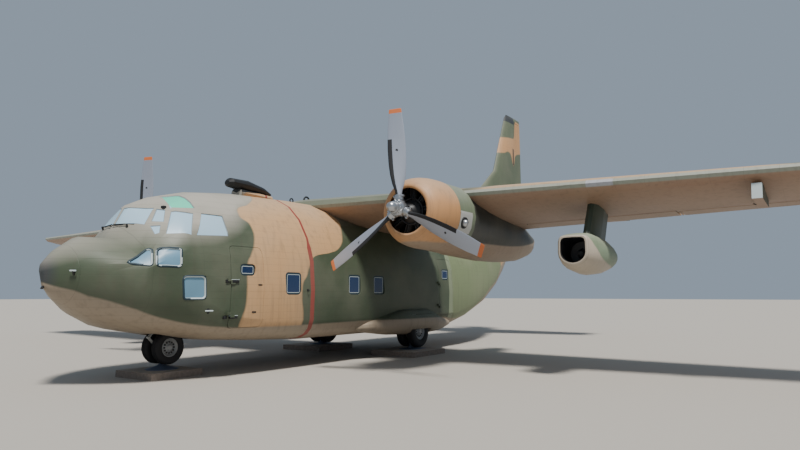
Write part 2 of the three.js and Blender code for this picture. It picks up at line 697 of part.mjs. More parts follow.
const RUDDER = [4960, 10200];
const rudderHinge = (z) => {
  const station = lerp(21700, 22330, (z - RUDDER[0]) / (RUDDER[1] - RUDDER[0]));
  return (station - finValue(z, 1)) / (finValue(z, 2) - finValue(z, 1));
};
const ELEVATOR = [560, 5300];
const ELEVATOR_HINGE_STATION = 21100;
const elevatorHinge = (x) => {
  const lead = TAILPLANE.lead + TAILPLANE.leadSweep * x;
  const trail = TAILPLANE.trail + TAILPLANE.trailSweep * x;
  return (ELEVATOR_HINGE_STATION - lead) / (trail - lead);
};
const RUDDER_SWING = 25;
const ELEVATOR_SWING = 25;

{
  const rudder = movingPanel(finSurface, ...RUDDER, rudderHinge, RUDDER_SWING);
  const fin = cut(foilLoft(finSurface, [4300, 7450, 10250, FIN_TOP]), rudder.tools);
  const below = box(-400, 400, 22310, 23400, 4200, RUDDER[0]);
  addPiece('fin', cut(fin, [wholeTail(ROOT_PLAY), below]), GREEN);
  addPiece('rudder', rudder.panel, GREEN);

  let tailplane = wholeTail(1);
  tailplane = tailplane.subtract(box(-ELEVATOR[0] + RUN, ELEVATOR[0] - RUN, 21450, 22400, 4500, 5400));
  for (const [side, word] of [[1, 'left'], [-1, 'right']]) {
    const elevator = movingPanel(tailSurface(side), ...ELEVATOR, elevatorHinge, ELEVATOR_SWING);
    tailplane = cut(tailplane, elevator.tools);
    addPiece(`elevator_${word}`, elevator.panel, GREEN);
  }
  addPiece('tailplane', tailplane, GREEN);
}

// Nacelles: station, half width, top, bottom
const NACELLE = [
  [COWL_BACK, 840, 4520, 2840],
  [7420, 838, 4515, 2790],
  [7440, 815, 4495, 2775],
  [9200, 790, 4350, 2690],
  [10400, 720, 4120, 2700],
  [11400, 600, 3920, 2780],
  [12100, 430, 3720, 2930],
  [12560, 260, 3640, 3200],
];

function ovalRing(x, station, halfWidth, top, bottom, count = 18) {
  const points = [];
  for (let i = 0; i < count; i++) {
    const a = (2 * Math.PI * i) / count;
    const z = (top + bottom) / 2 + (top - bottom) / 2 * Math.sin(a);
    points.push(at(x + halfWidth * Math.cos(a), station, z));
  }
  return points;
}

const CYLINDERS = 9;
const CYLINDER_ROW = 480;

function radialEngine() {
  const along = at(0, 1, 0);
  const pieces = [turned([
    [0, ENGINE_NOSE], [120, ENGINE_NOSE], [190, 160], [330, 260], [340, 900], [0, 900],
  ], along, 12)];
  for (let i = 0; i < CYLINDERS; i++) {
    const a = THREE.MathUtils.degToRad((360 * i) / CYLINDERS);
    const out = at(Math.sin(a), 0, Math.cos(a));
    const base = out.clone().multiplyScalar(250).setY(CYLINDER_ROW);
    const head = out.clone().multiplyScalar(640).setY(CYLINDER_ROW);
    pieces.push(bar(base, head, 115, 105, 6));
  }
  const reach = COWL_RADIUS - COWL_WALL - SEAT;
  const mount = turned([[0, 880], [reach, 880], [reach, 960], [0, 960]], along, 24);
  return join([...pieces, mount]);
}

function cowl() {
  const depth = COWL_BACK - COWL_FRONT;
  const inside = COWL_RADIUS - COWL_WALL;
  return turned([
    [COWL_MOUTH, 60], [COWL_MOUTH + 50, 0], [650, 60], [770, 240],
    [COWL_RADIUS, 800], [COWL_RADIUS, depth - SEAT], [inside, depth - SEAT],
    [inside, 500], [COWL_MOUTH + 30, 130], [COWL_MOUTH, 60],
  ], at(0, 1, 0), 24);
}

// Propeller blade sections: radius, chord, thickness, pitch in degrees
const BLADE = [
  [150, 150, 150, 50],
  [400, 200, 105, 47],
  [850, 370, 64, 37],
  [1350, 415, 46, 29],
  [1900, 365, 30, 21],
  [PROP_RADIUS, 285, 14, 17],
];

const BLADE_POINTS = 8;

function blade(turn) {
  const rings = BLADE.map(([radius, chord, thickness, pitch]) => {
    const tilt = THREE.MathUtils.degToRad(pitch);
    const [cos, sin] = [Math.cos(tilt), Math.sin(tilt)];
    const points = [];
    for (let i = 0; i < BLADE_POINTS; i++) {
      const a = (2 * Math.PI * i) / BLADE_POINTS;
      const [u, v] = [Math.cos(a) * chord / 2, Math.sin(a) * thickness / 2];
      points.push(at(u * cos - v * sin, u * sin + v * cos, radius));
    }
    return points;
  });
  const geometry = loft(rings);
  geometry.rotateY(THREE.MathUtils.degToRad(turn));
  return toSolid(geometry);
}

const SHAFT_END = COWL_FRONT + ENGINE_NOSE - SEAT - HUB_STATION;

function propeller() {
  const hub = turned([
    [0, -430], [60, -422], [108, -370], [120, -260], [180, -220], [200, 0],
    [150, 130], [110, 150], [110, SHAFT_END], [0, SHAFT_END],
  ], at(0, 1, 0), 14);
  return join([hub, blade(0), blade(120), blade(240)]);
}

const SIDES = [[1, 'left', PORT_PHASE], [-1, 'right', STARBOARD_PHASE]];

for (const [side, word, phase] of SIDES) {
  const x = side * ENGINE_X;
  const nacelle = toSolid(loft(NACELLE.map((row) => ovalRing(x, ...row))));
  addPiece(`nacelle_${word}`, nacelle.subtract(grownWing), DARK_GREEN);

  const mount = new THREE.Group();
  mount.position.set(x, COWL_FRONT, (NACELLE[0][2] + NACELLE[0][3]) / 2);
  airframe.add(mount);
  addPiece(`cowl_${word}`, cowl(), TAN, mount);
  addPiece(`engine_${word}`, radialEngine(), BLACK, mount);

  const shaft = new THREE.Group();
  shaft.position.set(x, HUB_STATION, HUB_Z);
  shaft.rotation.y = THREE.MathUtils.degToRad(phase);
  airframe.add(shaft);
  addPiece(`propeller_${word}`, propeller(), BARE_METAL, shaft);
}

addPiece('centre_wing', centreWing, GREEN);

// Jet pods: distance from the lip, half width, top, bottom, squareness of the upper half
const POD_OUTER = [
  [0, 305, 350, -250, 6],
  [50, 345, 385, -300, 5],
  [350, 435, 440, -410, 3.4],
  [900, 470, 470, -470, 2],
  [1600, 430, 430, -430, 2],
  [2250, 330, 330, -330, 2],
  [2600, 255, 255, -255, 2],
];
const POD_DUCT = 280;
const POD_INTAKE = [
  [-10, 275, 325, -225, 6],
  [300, 275, 310, -240, 4],
  [650, POD_DUCT, POD_DUCT, -POD_DUCT, 2],
  [1700, POD_DUCT, POD_DUCT, -POD_DUCT, 2],
  [2610, 225, 225, -225, 2],
];
const POD_SIDES = 20;
const PYLON = { halfWidth: 130, top: [8750, 10150], bottom: [7930, 9450] };

function podLoft(rows, grow = 0) {
  return toSolid(loft(rows.map(([along, halfWidth, top, bottom, squareness]) => {
    return Array.from({ length: POD_SIDES }, (_, i) => {
      const a = (2 * Math.PI * i) / POD_SIDES;
      const [power, reach] = Math.sin(a) > 0 ? [2 / squareness, top] : [1, -bottom];
      const across = (halfWidth + grow) * signedPower(Math.cos(a), power);
      return at(across, along, (reach + grow) * signedPower(Math.sin(a), power));
    });
  })));
}

for (const [side, word] of SIDES) {
  const x = side * POD_X;
  const place = new THREE.Group();
  place.position.set(x, POD_FRONT, POD_Z);
  airframe.add(place);
  addPiece(`jet_pod_${word}`, podLoft(POD_OUTER).subtract(podLoft(POD_INTAKE)), DARK_GREEN, place);
  const core = turned([
    [0, 500], [60, 530], [120, 700], [POD_DUCT - SEAT, 700], [POD_DUCT - SEAT, 1650],
    [230, 1750], [180, 2200], [60, 2450], [0, 2470],
  ], at(0, 1, 0), POD_SIDES);
  addPiece(`jet_engine_${word}`, core, BLACK, place);

  const [top, low] = [PYLON.top, PYLON.bottom];
  const slice = (z, [front, aft], halfWidth) => {
    const mid = (front + aft) / 2;
    const plan = [
      [front, 0], [front + 50, halfWidth * 0.6], [front + 220, halfWidth], [mid, halfWidth], [aft, 20],
      [aft, -20], [mid, -halfWidth], [front + 220, -halfWidth], [front + 50, -halfWidth * 0.6],
    ];
    return plan.map(([y, dx]) => at(x + dx, y, z));
  };
  const strut = toSolid(loft([slice(POD_Z + 300, low, PYLON.halfWidth), slice(4400, top, PYLON.halfWidth)]));
  const podGrown = podLoft(POD_OUTER, SEAT).translate([x, POD_FRONT, POD_Z]);
  const rearClear = box(x - 400, x + 400, 10600, 12000, 2000, 5000);
  addPiece(`jet_pylon_${word}`, cut(strut, [grownWing, podGrown, rearClear]).decompose()[0], DARK_GREEN);
}

// Roof fairing ahead of the wing: a hood on a low base
{
  const base = toSolid(loft([
    ovalRing(0, 4780, 200, 4520, 4250, 12),
    ovalRing(0, 5400, 210, 4480, 4250, 12),
    ovalRing(0, 5920, 150, 4440, 4260, 12),
  ]));
  const hood = toSolid(loft([
    ovalRing(0, 4460, 90, 4660, 4560, 12),
    ovalRing(0, 4540, 190, 4735, 4500, 12),
    ovalRing(0, 5050, 230, 4740, 4440, 12),
    ovalRing(0, 5600, 190, 4630, 4420, 12),
    ovalRing(0, 5915, 90, 4500, 4430, 12),
  ]));
  addPiece('roof_fairing', base.add(hood).subtract(hullLoft(HOLD_START, 7000, -SEAT)), BLACK);
}

// Landing gear fairings: station, reach outboard, top, bottom
const GEAR_FAIRING = [
  [7600, 1720, 1000, 780],
  [8800, 2110, 1190, 640],
  [9600, 2230, 1345, 610],
  [11000, 2230, 1345, 610],
  [11700, 2130, 1120, 640],
  [12700, 1750, 960, 760],
];

for (const [side, word] of SIDES) {
  const rings = GEAR_FAIRING.map(([station, reach, top, bottom]) => {
    const half = (reach - 1500) / 2;
    return ovalRing(side * (1500 + half), station, half, top, bottom, 14);
  });
  const hullGrown = hullLoft(HOLD_START, TAIL_START, -SEAT);
  const inboard = side > 0 ? box(0, 1700, 7000, 13000, 0, 2000) : box(-1700, 0, 7000, 13000, 0, 2000);
  const { outer, top } = FAIRING_WELL;
  const [x0, x1] = side > 0 ? [0, outer] : [-outer, 0];
  const well = box(x0, x1, WELL.front, WELL.aft, 0, top);
  const body = cut(toSolid(loft(rings)), [hullGrown, well, inboard]);
  addPiece(`gear_fairing_${word}`, largest(body), GREY);
}

function largest(body) {
  return body.decompose().sort((a, b) => b.volume() - a.volume())[0];
}

// Wheels

function tyre({ radius, width, rim }) {
  const h = width / 2;
  return turned([
    [rim, -h * 0.75], [rim + 25, -h * 0.95], [radius * 0.8, -h],
    [radius * 0.95, -h * 0.72], [radius, -h * 0.3],
    [radius, h * 0.3], [radius * 0.95, h * 0.72], [radius * 0.8, h], [rim + 25, h * 0.95],
    [rim, h * 0.75], [rim, -h * 0.75],
  ], at(1, 0, 0), 16);
}

const rimFace = ({ width }) => width * 0.4;

// A pair of rims on one axle tube.
function wheelPair(size, barrel) {
  const { rim, spread } = size;
  const face = rimFace(size);
  const seat = rim - SEAT;
  const half = (sign) => turned([
    [0, -face], [seat * 0.3, -face], [seat * 0.7, -face * 0.45], [seat, -face * 0.7], [seat, face * 0.7],
    [seat * 0.7, face * 0.45], [seat * 0.3, face], [0, face],
  ], at(1, 0, 0), 16).translate([sign * spread, 0, 0]);
  return join([half(1), half(-1), bar(at(-spread, 0, 0), at(spread, 0, 0), barrel, barrel, 12)]);
}

function wheelSet(prefix, x, axle, size, barrel) {
  const set = new THREE.Group();
  set.position.set(x, axle.station, axle.z);
  airframe.add(set);
  addPiece(`${prefix}_wheels`, wheelPair(size, barrel), BARE_METAL, set);
  for (const [sign, word] of [[1, 'left'], [-1, 'right']]) {
    const mesh = addPiece(`${prefix}_tyre_${word}`, tyre(size), TYRE, set);
    mesh.position.x = sign * size.spread;
  }
}

const NOSE_BARREL = 45;
const MAIN_BARREL = 60;
const NOSE_EYE = 25;
const MAIN_EYE = 35;
wheelSet('nose', 0, NOSE_AXLE, NOSE_TYRE, NOSE_BARREL);
wheelSet('main_left', MAIN_AXLE.x, MAIN_AXLE, MAIN_TYRE, MAIN_BARREL);
wheelSet('main_right', -MAIN_AXLE.x, MAIN_AXLE, MAIN_TYRE, MAIN_BARREL);

// Legs: each ends in an eye round the axle tube, between its two wheels
const AXLE_PLAY = 3;

function withEye(body, x, axle, barrel, wall, size) {
  const tube = (radius, reach, sides) => {
    const ends = [-reach, reach].map((dx) => at(x + dx, axle.station, axle.z));
    return bar(...ends, radius, radius, sides);
  };
  const halfWidth = size.spread - rimFace(size) - SEAT;
  return body.add(tube(barrel + wall, halfWidth, 20)).subtract(tube(barrel + AXLE_PLAY, 200, 24));
}

const FORK_TOP = 1060;
{
  const stem = bar(at(0, NOSE_AXLE.station, NOSE_AXLE.z), at(0, NOSE_AXLE.station, FORK_TOP), 48, 48, 16);
  addPiece('nose_fork', withEye(stem, 0, NOSE_AXLE, NOSE_BARREL, NOSE_EYE, NOSE_TYRE), BARE_METAL);
  const top = at(0, NOSE_AXLE.station, BAY_TOP - SEAT);
  addPiece('nose_leg', bar(at(0, NOSE_AXLE.station, FORK_TOP + SEAT), top, 120, 120, 16), BARE_METAL);
}

for (const [side, word] of SIDES) {
  const x = side * MAIN_AXLE.x;
  const { station, z } = MAIN_AXLE;
  const arm = box(x - 48, x + 48, station - 110, station + 110, z, WELL.top - SEAT);
  addPiece(`main_leg_${word}`, withEye(arm, x, MAIN_AXLE, MAIN_BARREL, MAIN_EYE, MAIN_TYRE), BARE_METAL);
}

// Plinths: a concrete slab with a steel pedestal that takes the axle between the tyres
// name, x, axle, eye radius, slab half width, slab front and aft, foot half width and height,
// post half width and length, squareness of the post, and how far it wraps up round the eye
const PLINTHS = [
  ['nose', 0, NOSE_AXLE, NOSE_BARREL + NOSE_EYE, 650, 2070, 3350, 330, 235, 50, 50, 1, -SEAT],
  ['left', MAIN_AXLE.x, MAIN_AXLE, MAIN_BARREL + MAIN_EYE, 780, 9230, 10930, 300, 190, 44, 130, 0.45, 40],
  ['right', -MAIN_AXLE.x, MAIN_AXLE, MAIN_BARREL + MAIN_EYE, 780, 9230, 10930, 300, 190, 44, 130, 0.45, 40],
];
for (const row of PLINTHS) {
  const [word, x, axle, eye, slabHalf, front, aft, footHalf, footTop, ...post] = row;
  const [postHalf, postLong, squareness, wrap] = post;
  const slab = box(x - slabHalf, x + slabHalf, front, aft, 0, SLAB_HEIGHT);
  const foot = (z, wide, long) => ovalRing(x, 0, wide, 1, 0, 12).map((p, i) => {
    const a = (2 * Math.PI * i) / 12;
    const [across, along] = [signedPower(Math.cos(a), squareness), signedPower(Math.sin(a), squareness)];
    return at(x + wide * across, axle.station + long * along, z);
  });
  const pedestal = toSolid(loft([
    foot(SLAB_HEIGHT - 20, footHalf, footHalf + postLong),
    foot(SLAB_HEIGHT + 10, footHalf, footHalf + postLong),
    foot(footTop, postHalf * 2, postLong + 60), foot(footTop + 60, postHalf, postLong),
    foot(axle.z - eye + wrap, postHalf, postLong),
  ]));
  const eyeEnds = [-300, 300].map((dx) => at(x + dx, axle.station, axle.z));
  const eyeGap = bar(...eyeEnds, eye + SEAT, eye + SEAT, 20);
  addPiece(`plinth_${word}`, slab.add(wrap > 0 ? pedestal.subtract(eyeGap) : pedestal), CONCRETE);
}

export default airframe;
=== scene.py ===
# %% [markdown]
# Looks for a twin-engined military transport plane that stands on three display plinths.
# Metres, +Z up. The nose points along -Y, the port wing along +X, and the slabs stand on z = 0.

import json
import math

import bpy
from mathutils import Matrix, Vector

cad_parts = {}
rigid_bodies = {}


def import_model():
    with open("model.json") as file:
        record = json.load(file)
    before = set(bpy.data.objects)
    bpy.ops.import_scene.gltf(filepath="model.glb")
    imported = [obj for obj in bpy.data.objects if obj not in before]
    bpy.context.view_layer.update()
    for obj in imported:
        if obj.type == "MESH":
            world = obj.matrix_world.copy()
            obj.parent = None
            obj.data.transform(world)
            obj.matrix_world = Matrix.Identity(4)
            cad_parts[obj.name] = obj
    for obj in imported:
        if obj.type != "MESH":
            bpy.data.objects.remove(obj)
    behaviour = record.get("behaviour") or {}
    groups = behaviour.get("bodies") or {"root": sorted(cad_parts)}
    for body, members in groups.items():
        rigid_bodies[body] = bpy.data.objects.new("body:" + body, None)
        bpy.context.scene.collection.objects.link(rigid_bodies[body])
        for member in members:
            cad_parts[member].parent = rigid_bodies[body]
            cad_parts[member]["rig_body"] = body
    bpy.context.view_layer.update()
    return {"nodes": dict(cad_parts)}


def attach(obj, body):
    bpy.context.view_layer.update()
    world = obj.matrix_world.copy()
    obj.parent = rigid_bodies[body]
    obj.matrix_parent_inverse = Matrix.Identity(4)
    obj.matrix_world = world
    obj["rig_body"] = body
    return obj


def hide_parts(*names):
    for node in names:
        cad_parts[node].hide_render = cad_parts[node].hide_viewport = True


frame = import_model()
NODES = frame["nodes"]

NOSE_TIP = -11.6405
SIDES = (("left", 1), ("right", -1))

# %% [markdown]
# Small tools. Selecting is by place in code, since nobody clicks here; each new piece begins as a
# primitive and is pushed and scaled in edit mode, as it would be by hand.

# %% Selecting and editing
def object_mode():
    bpy.ops.object.mode_set(mode="OBJECT")


def edit_mode():
    bpy.ops.object.mode_set(mode="EDIT")


def deselect():
    if bpy.context.object and bpy.context.object.mode != "OBJECT":
        object_mode()
    bpy.ops.object.select_all(action="DESELECT")


def activate(piece):
    deselect()
    piece.select_set(True)
    bpy.context.view_layer.objects.active = piece


def edit(piece, kind="FACE"):
    activate(piece)
    edit_mode()
    bpy.ops.mesh.select_mode(type=kind)
    bpy.ops.mesh.select_all(action="SELECT")


def choose(piece, kind, test):
    """Leaves the piece in edit mode with only the faces, edges or vertices that pass the test."""
    edit(piece, kind)
    bpy.ops.mesh.select_all(action="DESELECT")
    object_mode()
    mesh = piece.data
    for part in {"FACE": mesh.polygons, "EDGE": mesh.edges, "VERT": mesh.vertices}[kind]:
        part.select = test(part)
    edit_mode()


def pick(piece, test, kind="FACE"):
    """Selects faces by their centre and normal, or edges by their centre and direction."""
    def passes(part):
        if kind == "FACE":
            return test(part.center, part.normal)
        a, b = (piece.data.vertices[i].co for i in part.vertices)
        return test((a + b) / 2, (b - a).normalized())

    choose(piece, kind, passes)


def cut_away(piece, test):
    """Deletes the faces that pass the test and leaves the others selected in edit mode."""
    pick(piece, test)
    bpy.ops.mesh.delete(type="FACE")
    bpy.ops.mesh.select_all(action="SELECT")


def outward(piece):
    edit(piece)
    bpy.ops.mesh.remove_doubles(threshold=0.00005)
    bpy.ops.mesh.normals_make_consistent(inside=False)
    object_mode()


def bridge(piece, cap, rim):
    """Opens a turned body: its caps are deleted, and the two loops of edges that are left are joined."""
    cut_away(piece, cap)
    pick(piece, rim, "EDGE")
    bpy.ops.mesh.bridge_edge_loops()
    outward(piece)


def modify(piece, kind, **settings):
    activate(piece)
    modifier = piece.modifiers.new(kind.lower(), kind)
    for key, value in settings.items():
        setattr(modifier, key, value)
    bpy.ops.object.modifier_apply(modifier=modifier.name)


# %% Making, moving and joining
def move(*spot):
    return Matrix.Translation(spot)


def turn(degrees, axis):
    return Matrix.Rotation(math.radians(degrees), 4, axis)


def along(start, end):
    """The matrix that lays +Z from one point towards another."""
    start, end = Vector(start), Vector(end)
    return move(*start) @ (end - start).to_track_quat("Z", "Y").to_matrix().to_4x4()


def place(piece, matrix):
    """Moves the mesh itself, so that the object stays at the origin."""
    piece.data.transform(matrix)
    piece.matrix_world = Matrix.Identity(4)
    return piece


def stack(name, sides, rows):
    """A round body pushed up along +Z; a row is its height and radius, or height, half width and half depth."""
    deselect()
    rows = [row if len(row) == 3 else (*row, row[1]) for row in rows]
    z, wide, deep = rows[0]
    bpy.ops.mesh.primitive_circle_add(vertices=sides, radius=1, fill_type="NGON")
    piece = bpy.context.object
    piece.name = name
    edit_mode()
    bpy.ops.mesh.select_all(action="SELECT")
    bpy.ops.transform.resize(value=(wide, deep, 1))
    bpy.ops.transform.translate(value=(0, 0, z))
    for (z0, x0, y0), (z1, x1, y1) in zip(rows, rows[1:]):
        bpy.ops.mesh.extrude_region_move(TRANSFORM_OT_translate={"value": (0, 0, z1 - z0)})
        bpy.ops.transform.resize(value=(x1 / x0, y1 / y0, 1), center_override=(0, 0, z1))
    outward(piece)
    return piece


def block(name, low, high, bevel=0.0, segments=2, across=None):
    """A box between two corners with rounded edges, or only the edges that run across along one axis."""
    deselect()
    low, high = Vector(low), Vector(high)
    bpy.ops.mesh.primitive_cube_add(size=1)
    piece = bpy.context.object
    piece.name = name
    place(piece, move(*(low + high) / 2) @ Matrix.Diagonal((*(high - low), 1)))
    if bevel:
        pick(piece, lambda c, d: across is None or abs(d[across]) > 0.9, "EDGE")
        bpy.ops.mesh.bevel(offset=bevel, segments=segments)
        object_mode()
    return piece


def rod(name, start, end, radius, sides=12, collar=0.0):
    """A round bar between two points, with a wider collar at each end if asked."""
    length = (Vector(end) - Vector(start)).length
    rim = radius * 0.2
    rows = [(0, radius - rim), (rim, radius), (length - rim, radius), (length, radius - rim)]
    if collar:
        wide = radius + collar
        rows = [(0, wide), (length * 0.06, wide), (length * 0.07, radius),
                (length * 0.93, radius), (length * 0.94, wide), (length, wide)]
    return place(stack(name, sides, rows), along(start, end))


def ring_of(name, radius, wire, sides):
    """A round wire bent to a ring about +Z."""
    deselect()
    bpy.ops.mesh.primitive_torus_add(major_radius=radius, minor_radius=wire,
                                     major_segments=sides, minor_segments=8)
    piece = bpy.context.object
    piece.name = name
    return piece


def twin(piece, name, matrix=Matrix.Identity(4)):
    """One more copy of a piece, with its own mesh."""
    other = piece.copy()
    other.data = piece.data.copy()
    other.name = name
    bpy.context.scene.collection.objects.link(other)
    return place(other, matrix)


def weld(pieces, name):
    deselect()
    for piece in pieces:
        piece.select_set(True)
    bpy.context.view_layer.objects.active = pieces[0]
    if len(pieces) > 1:
        bpy.ops.object.join()
    pieces[0].name = name
    return pieces[0]


def repeat(piece, name, matrices):
    """Copies of one piece joined into one object."""
    made = [twin(piece, name, matrix) for matrix in matrices]
    bpy.data.objects.remove(piece)
    return weld(made, name)


# %% Finishing a piece
def coat(piece, *materials):
    """Adds materials to the piece's list and gives the piece back."""
    for material in materials:
        piece.data.materials.append(material)
    return piece


def tag(piece, index, test):
    """Faces that pass the test take another of the piece's materials."""
    for face in piece.data.polygons:
        if test(face.center, face.normal):
            face.material_index = index


def fit(piece, body, slot, *materials, instead_of=(), angle=35):
    """Gives a finished piece its materials, soft shading and body; the slot is not used."""
    if materials:
        kept = [face.material_index for face in piece.data.polygons]
        piece.data.materials.clear()
        coat(piece, *materials)
        for face, index in zip(piece.data.polygons, kept):
            face.material_index = min(index, len(materials) - 1)
    activate(piece)
    bpy.ops.object.shade_smooth_by_angle(angle=math.radians(angle))
    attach(piece, body)
    if instead_of:
        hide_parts(*instead_of)
    return piece


# %% [markdown]
# Materials. Every finish is a Principled shader with Object coordinates, so the patterns keep their
# real size in metres. Colours are read beside the photo: most are the paint's own, some hold painted light or
# shade.

# %% Shader tools
def colour(text):
    """sRGB hex text as the linear colour that shaders use."""
    parts = [int(text[i : i + 2], 16) / 255 for i in (0, 2, 4)]
    return (*(p / 12.92 if p <= 0.04045 else ((p + 0.055) / 1.055) ** 2.4 for p in parts), 1)


def add(tree, kind, inputs=None, out=None, **settings):
    """One shader node. Its inputs, by name or number among those in use, are values or other outputs."""
    node = tree.nodes.new("ShaderNode" + kind)
    for key, value in settings.items():
        setattr(node, key, value)
    for key, value in (inputs or {}).items():
        used = [s for s in node.inputs if s.enabled]
        socket = used[key] if isinstance(key, int) else next(s for s in used if s.name == key)
        if isinstance(value, bpy.types.NodeSocket):
            tree.links.new(value, socket)
        else:
            socket.default_value = value
    used = [s for s in node.outputs if s.enabled]
    return next(s for s in used if s.name == out) if out else used[0]


def finish_of(name, hue, roughness, metallic=0.0, **sockets):
    """A plain material with its values on the shader's own sockets."""
    material = bpy.data.materials.new(name)
    material.use_nodes = True
    shader = material.node_tree.nodes["Principled BSDF"]
    shader.inputs["Base Color"].default_value = colour(hue)
    shader.inputs["Roughness"].default_value = roughness
    shader.inputs["Metallic"].default_value = metallic
    for key, value in sockets.items():
        shader.inputs[key.replace("_", " ")].default_value = value
    return material, material.node_tree, shader


def plain(*values, **sockets):
    return finish_of(*values, **sockets)[0]


def ramp(tree, value, start, end, low=0.0, high=1.0):
    """A value brought from the range start to end into the range low to high, and held there."""
    return add(tree, "MapRange", {"Value": value, "From Min": start, "From Max": end,
                                  "To Min": low, "To Max": high})


def calculate(tree, operation, *values):
    return add(tree, "Math", dict(enumerate(values)), operation=operation)


def noise(tree, coordinates, scale, detail):
    return add(tree, "TexNoise", {"Vector": coordinates, "Scale": scale, "Detail": detail})


def curve(tree, value, rows):
    """A value read off a table of (input, output) rows by a smooth curve."""
    ins, outs = [r[0] for r in rows], [r[1] for r in rows]
    low, high = min(outs) - 0.01, max(outs) + 0.01
    node = tree.nodes.new("ShaderNodeFloatCurve")
    spots = [((i - ins[0]) / (ins[-1] - ins[0]), (o - low) / (high - low)) for i, o in rows]
    points = node.mapping.curves[0].points
    points[0].location, points[1].location = spots[0], spots[-1]
    for spot in spots[1:-1]:
        points.new(*spot)
    node.mapping.update()
    tree.links.new(ramp(tree, value, ins[0], ins[-1]), node.inputs["Value"])
    return ramp(tree, node.outputs[0], 0.0, 1.0, low, high)


def above(tree, value, edge, soft=0.03):
    """1 where the value is over the edge and 0 under it, with a soft border."""
    return ramp(tree, calculate(tree, "SUBTRACT", value, edge), -soft, soft)


def times(tree, *masks):
    product = masks[0]
    for mask in masks[1:]:
        product = calculate(tree, "MULTIPLY", product, mask)
    return product


def less(tree, mask):
    return calculate(tree, "SUBTRACT", 1.0, mask)


def between(tree, value, low, high, soft):
    """1 from the low edge to the high edge and 0 outside them."""
    return times(tree, above(tree, value, low, soft), less(tree, above(tree, value, high, soft)))


def over(tree, mask, under, top):
    """One colour over another by a mask; a colour is hex text or another output."""
    under, top = (colour(hue) if isinstance(hue, str) else hue for hue in (under, top))
    return add(tree, "Mix", {0: mask, 1: under, 2: top}, data_type="RGBA")


def seams(tree, value, spacing, width):
    """Thin lines at every multiple of the spacing."""
    return ramp(tree, calculate(tree, "PINGPONG", value, spacing / 2), width, width * 0.3)


def place_of(tree):
    """Object coordinates, the same split in x, y and z, and how far the surface faces up."""
    coordinates = add(tree, "TexCoord", out="Object")
    spots = tree.nodes.new("ShaderNodeSeparateXYZ")
    tree.links.new(coordinates, spots.inputs[0])
    up = add(tree, "SeparateXYZ", {0: add(tree, "TexCoord", out="Normal")}, out="Z")
    return coordinates, spots.outputs, up


# The third colour lightens upper sides: partly sun-faded paint, partly painted sunlight.
GRIME, DUST, FADED_AND_SUNLIT, SEAM = "4a4238", "a29d8e", "a8a399", "26241f"


def weathered_and_sunlit(tree, shader, coordinates, up, paint, lines, bleached_and_sunlit=None, grime=0.3):
    """Lap lines, rain streaks, upper sides lighter as sun-faded paint and painted sunlight, and uneven gloss over
    a paint.
    """
    stretched = add(tree, "Mapping", {"Vector": coordinates, "Scale": (9, 9, 0.7)})
    patches = noise(tree, coordinates, 0.9, 4.0)
    streaks = ramp(tree, noise(tree, stretched, 1.0, 5.0), 0.5, 0.78, 0.0, grime)
    paint = over(tree, streaks, paint, GRIME)
    paint = over(tree, ramp(tree, patches, 0.42, 0.75, 0.0, 0.16), paint, DUST)
    # Upper sides are lighter, by how far they face up or by the pattern's own mask: partly sun-faded paint,
    # partly painted sunlight.
    paint = over(tree, bleached_and_sunlit or ramp(tree, up, 0.15, 0.9, 0.0, 0.28), paint, FADED_AND_SUNLIT)
    paint = over(tree, calculate(tree, "MULTIPLY", lines, 0.26), paint, SEAM)
    relief = add(tree, "Bump", {"Strength": 0.5, "Distance": 0.004, "Height": less(tree, lines)})
    tree.links.new(paint, shader.inputs["Base Color"])
    tree.links.new(ramp(tree, patches, 0.0, 1.0, 0.42, 0.66), shader.inputs["Roughness"])
    tree.links.new(relief, shader.inputs["Normal"])


def camouflage(name, pattern, roughness=0.6, gloss=0.45, **wear):
    """A paint worn by weather, with upper sides lighter as sun-faded paint and painted sunlight. Its pattern
    gives the colours and the lap lines, and may say where the paint is lighter.
    """
    material, tree, shader = finish_of(name, GREEN, roughness, Specular_IOR_Level=gloss)
    coordinates, spot, up = place_of(tree)
    weathered_and_sunlit(tree, shader, coordinates, up, *pattern(tree, coordinates, *spot, up), **wear)
    return material


# %% [markdown]
# Camouflage of the fuselage: dark green, a sand band over its whole girth ahead of the wing, a
# second sand patch by the tail and a warm grey belly. The edges of the patches are tables of
# points read off the photo; a red warning band marks the plane of the propellers.

# %% Fuselage paint
GREEN, SAND, BELLY, RED = "434e3c", "bd976e", "968876", "8c3731"
# On the next line, the first colour is the green as it looks in the sun: painted sunlight on the tail, aft of the
# wing's shadow.
SUNLIT_TAIL_GREEN, TAIL_STRIP, DARK_TIP = "75815f", "7f8a70", "3a3f42"
# Edges of the sand band, each row a height and the y of the edge there
SAND_FRONT = [(0.9, -8.18), (1.2, -8.21), (1.57, -8.10), (2.01, -8.09), (2.51, -8.05), (2.67, -7.95),
              (2.91, -7.81), (3.15, -7.75), (3.40, -7.76), (3.60, -7.97), (3.91, -7.49), (4.21, -6.9),
              (4.36, -6.7)]
SAND_AFT = [(0.9, -6.32), (1.33, -6.30), (1.73, -6.37), (2.05, -6.34), (2.25, -6.19), (2.44, -6.10),
            (2.70, -5.92), (2.87, -5.21), (2.99, -4.84), (3.20, -4.60), (3.61, -4.37), (3.82, -4.28),
            (4.05, -4.44), (4.36, -4.62)]
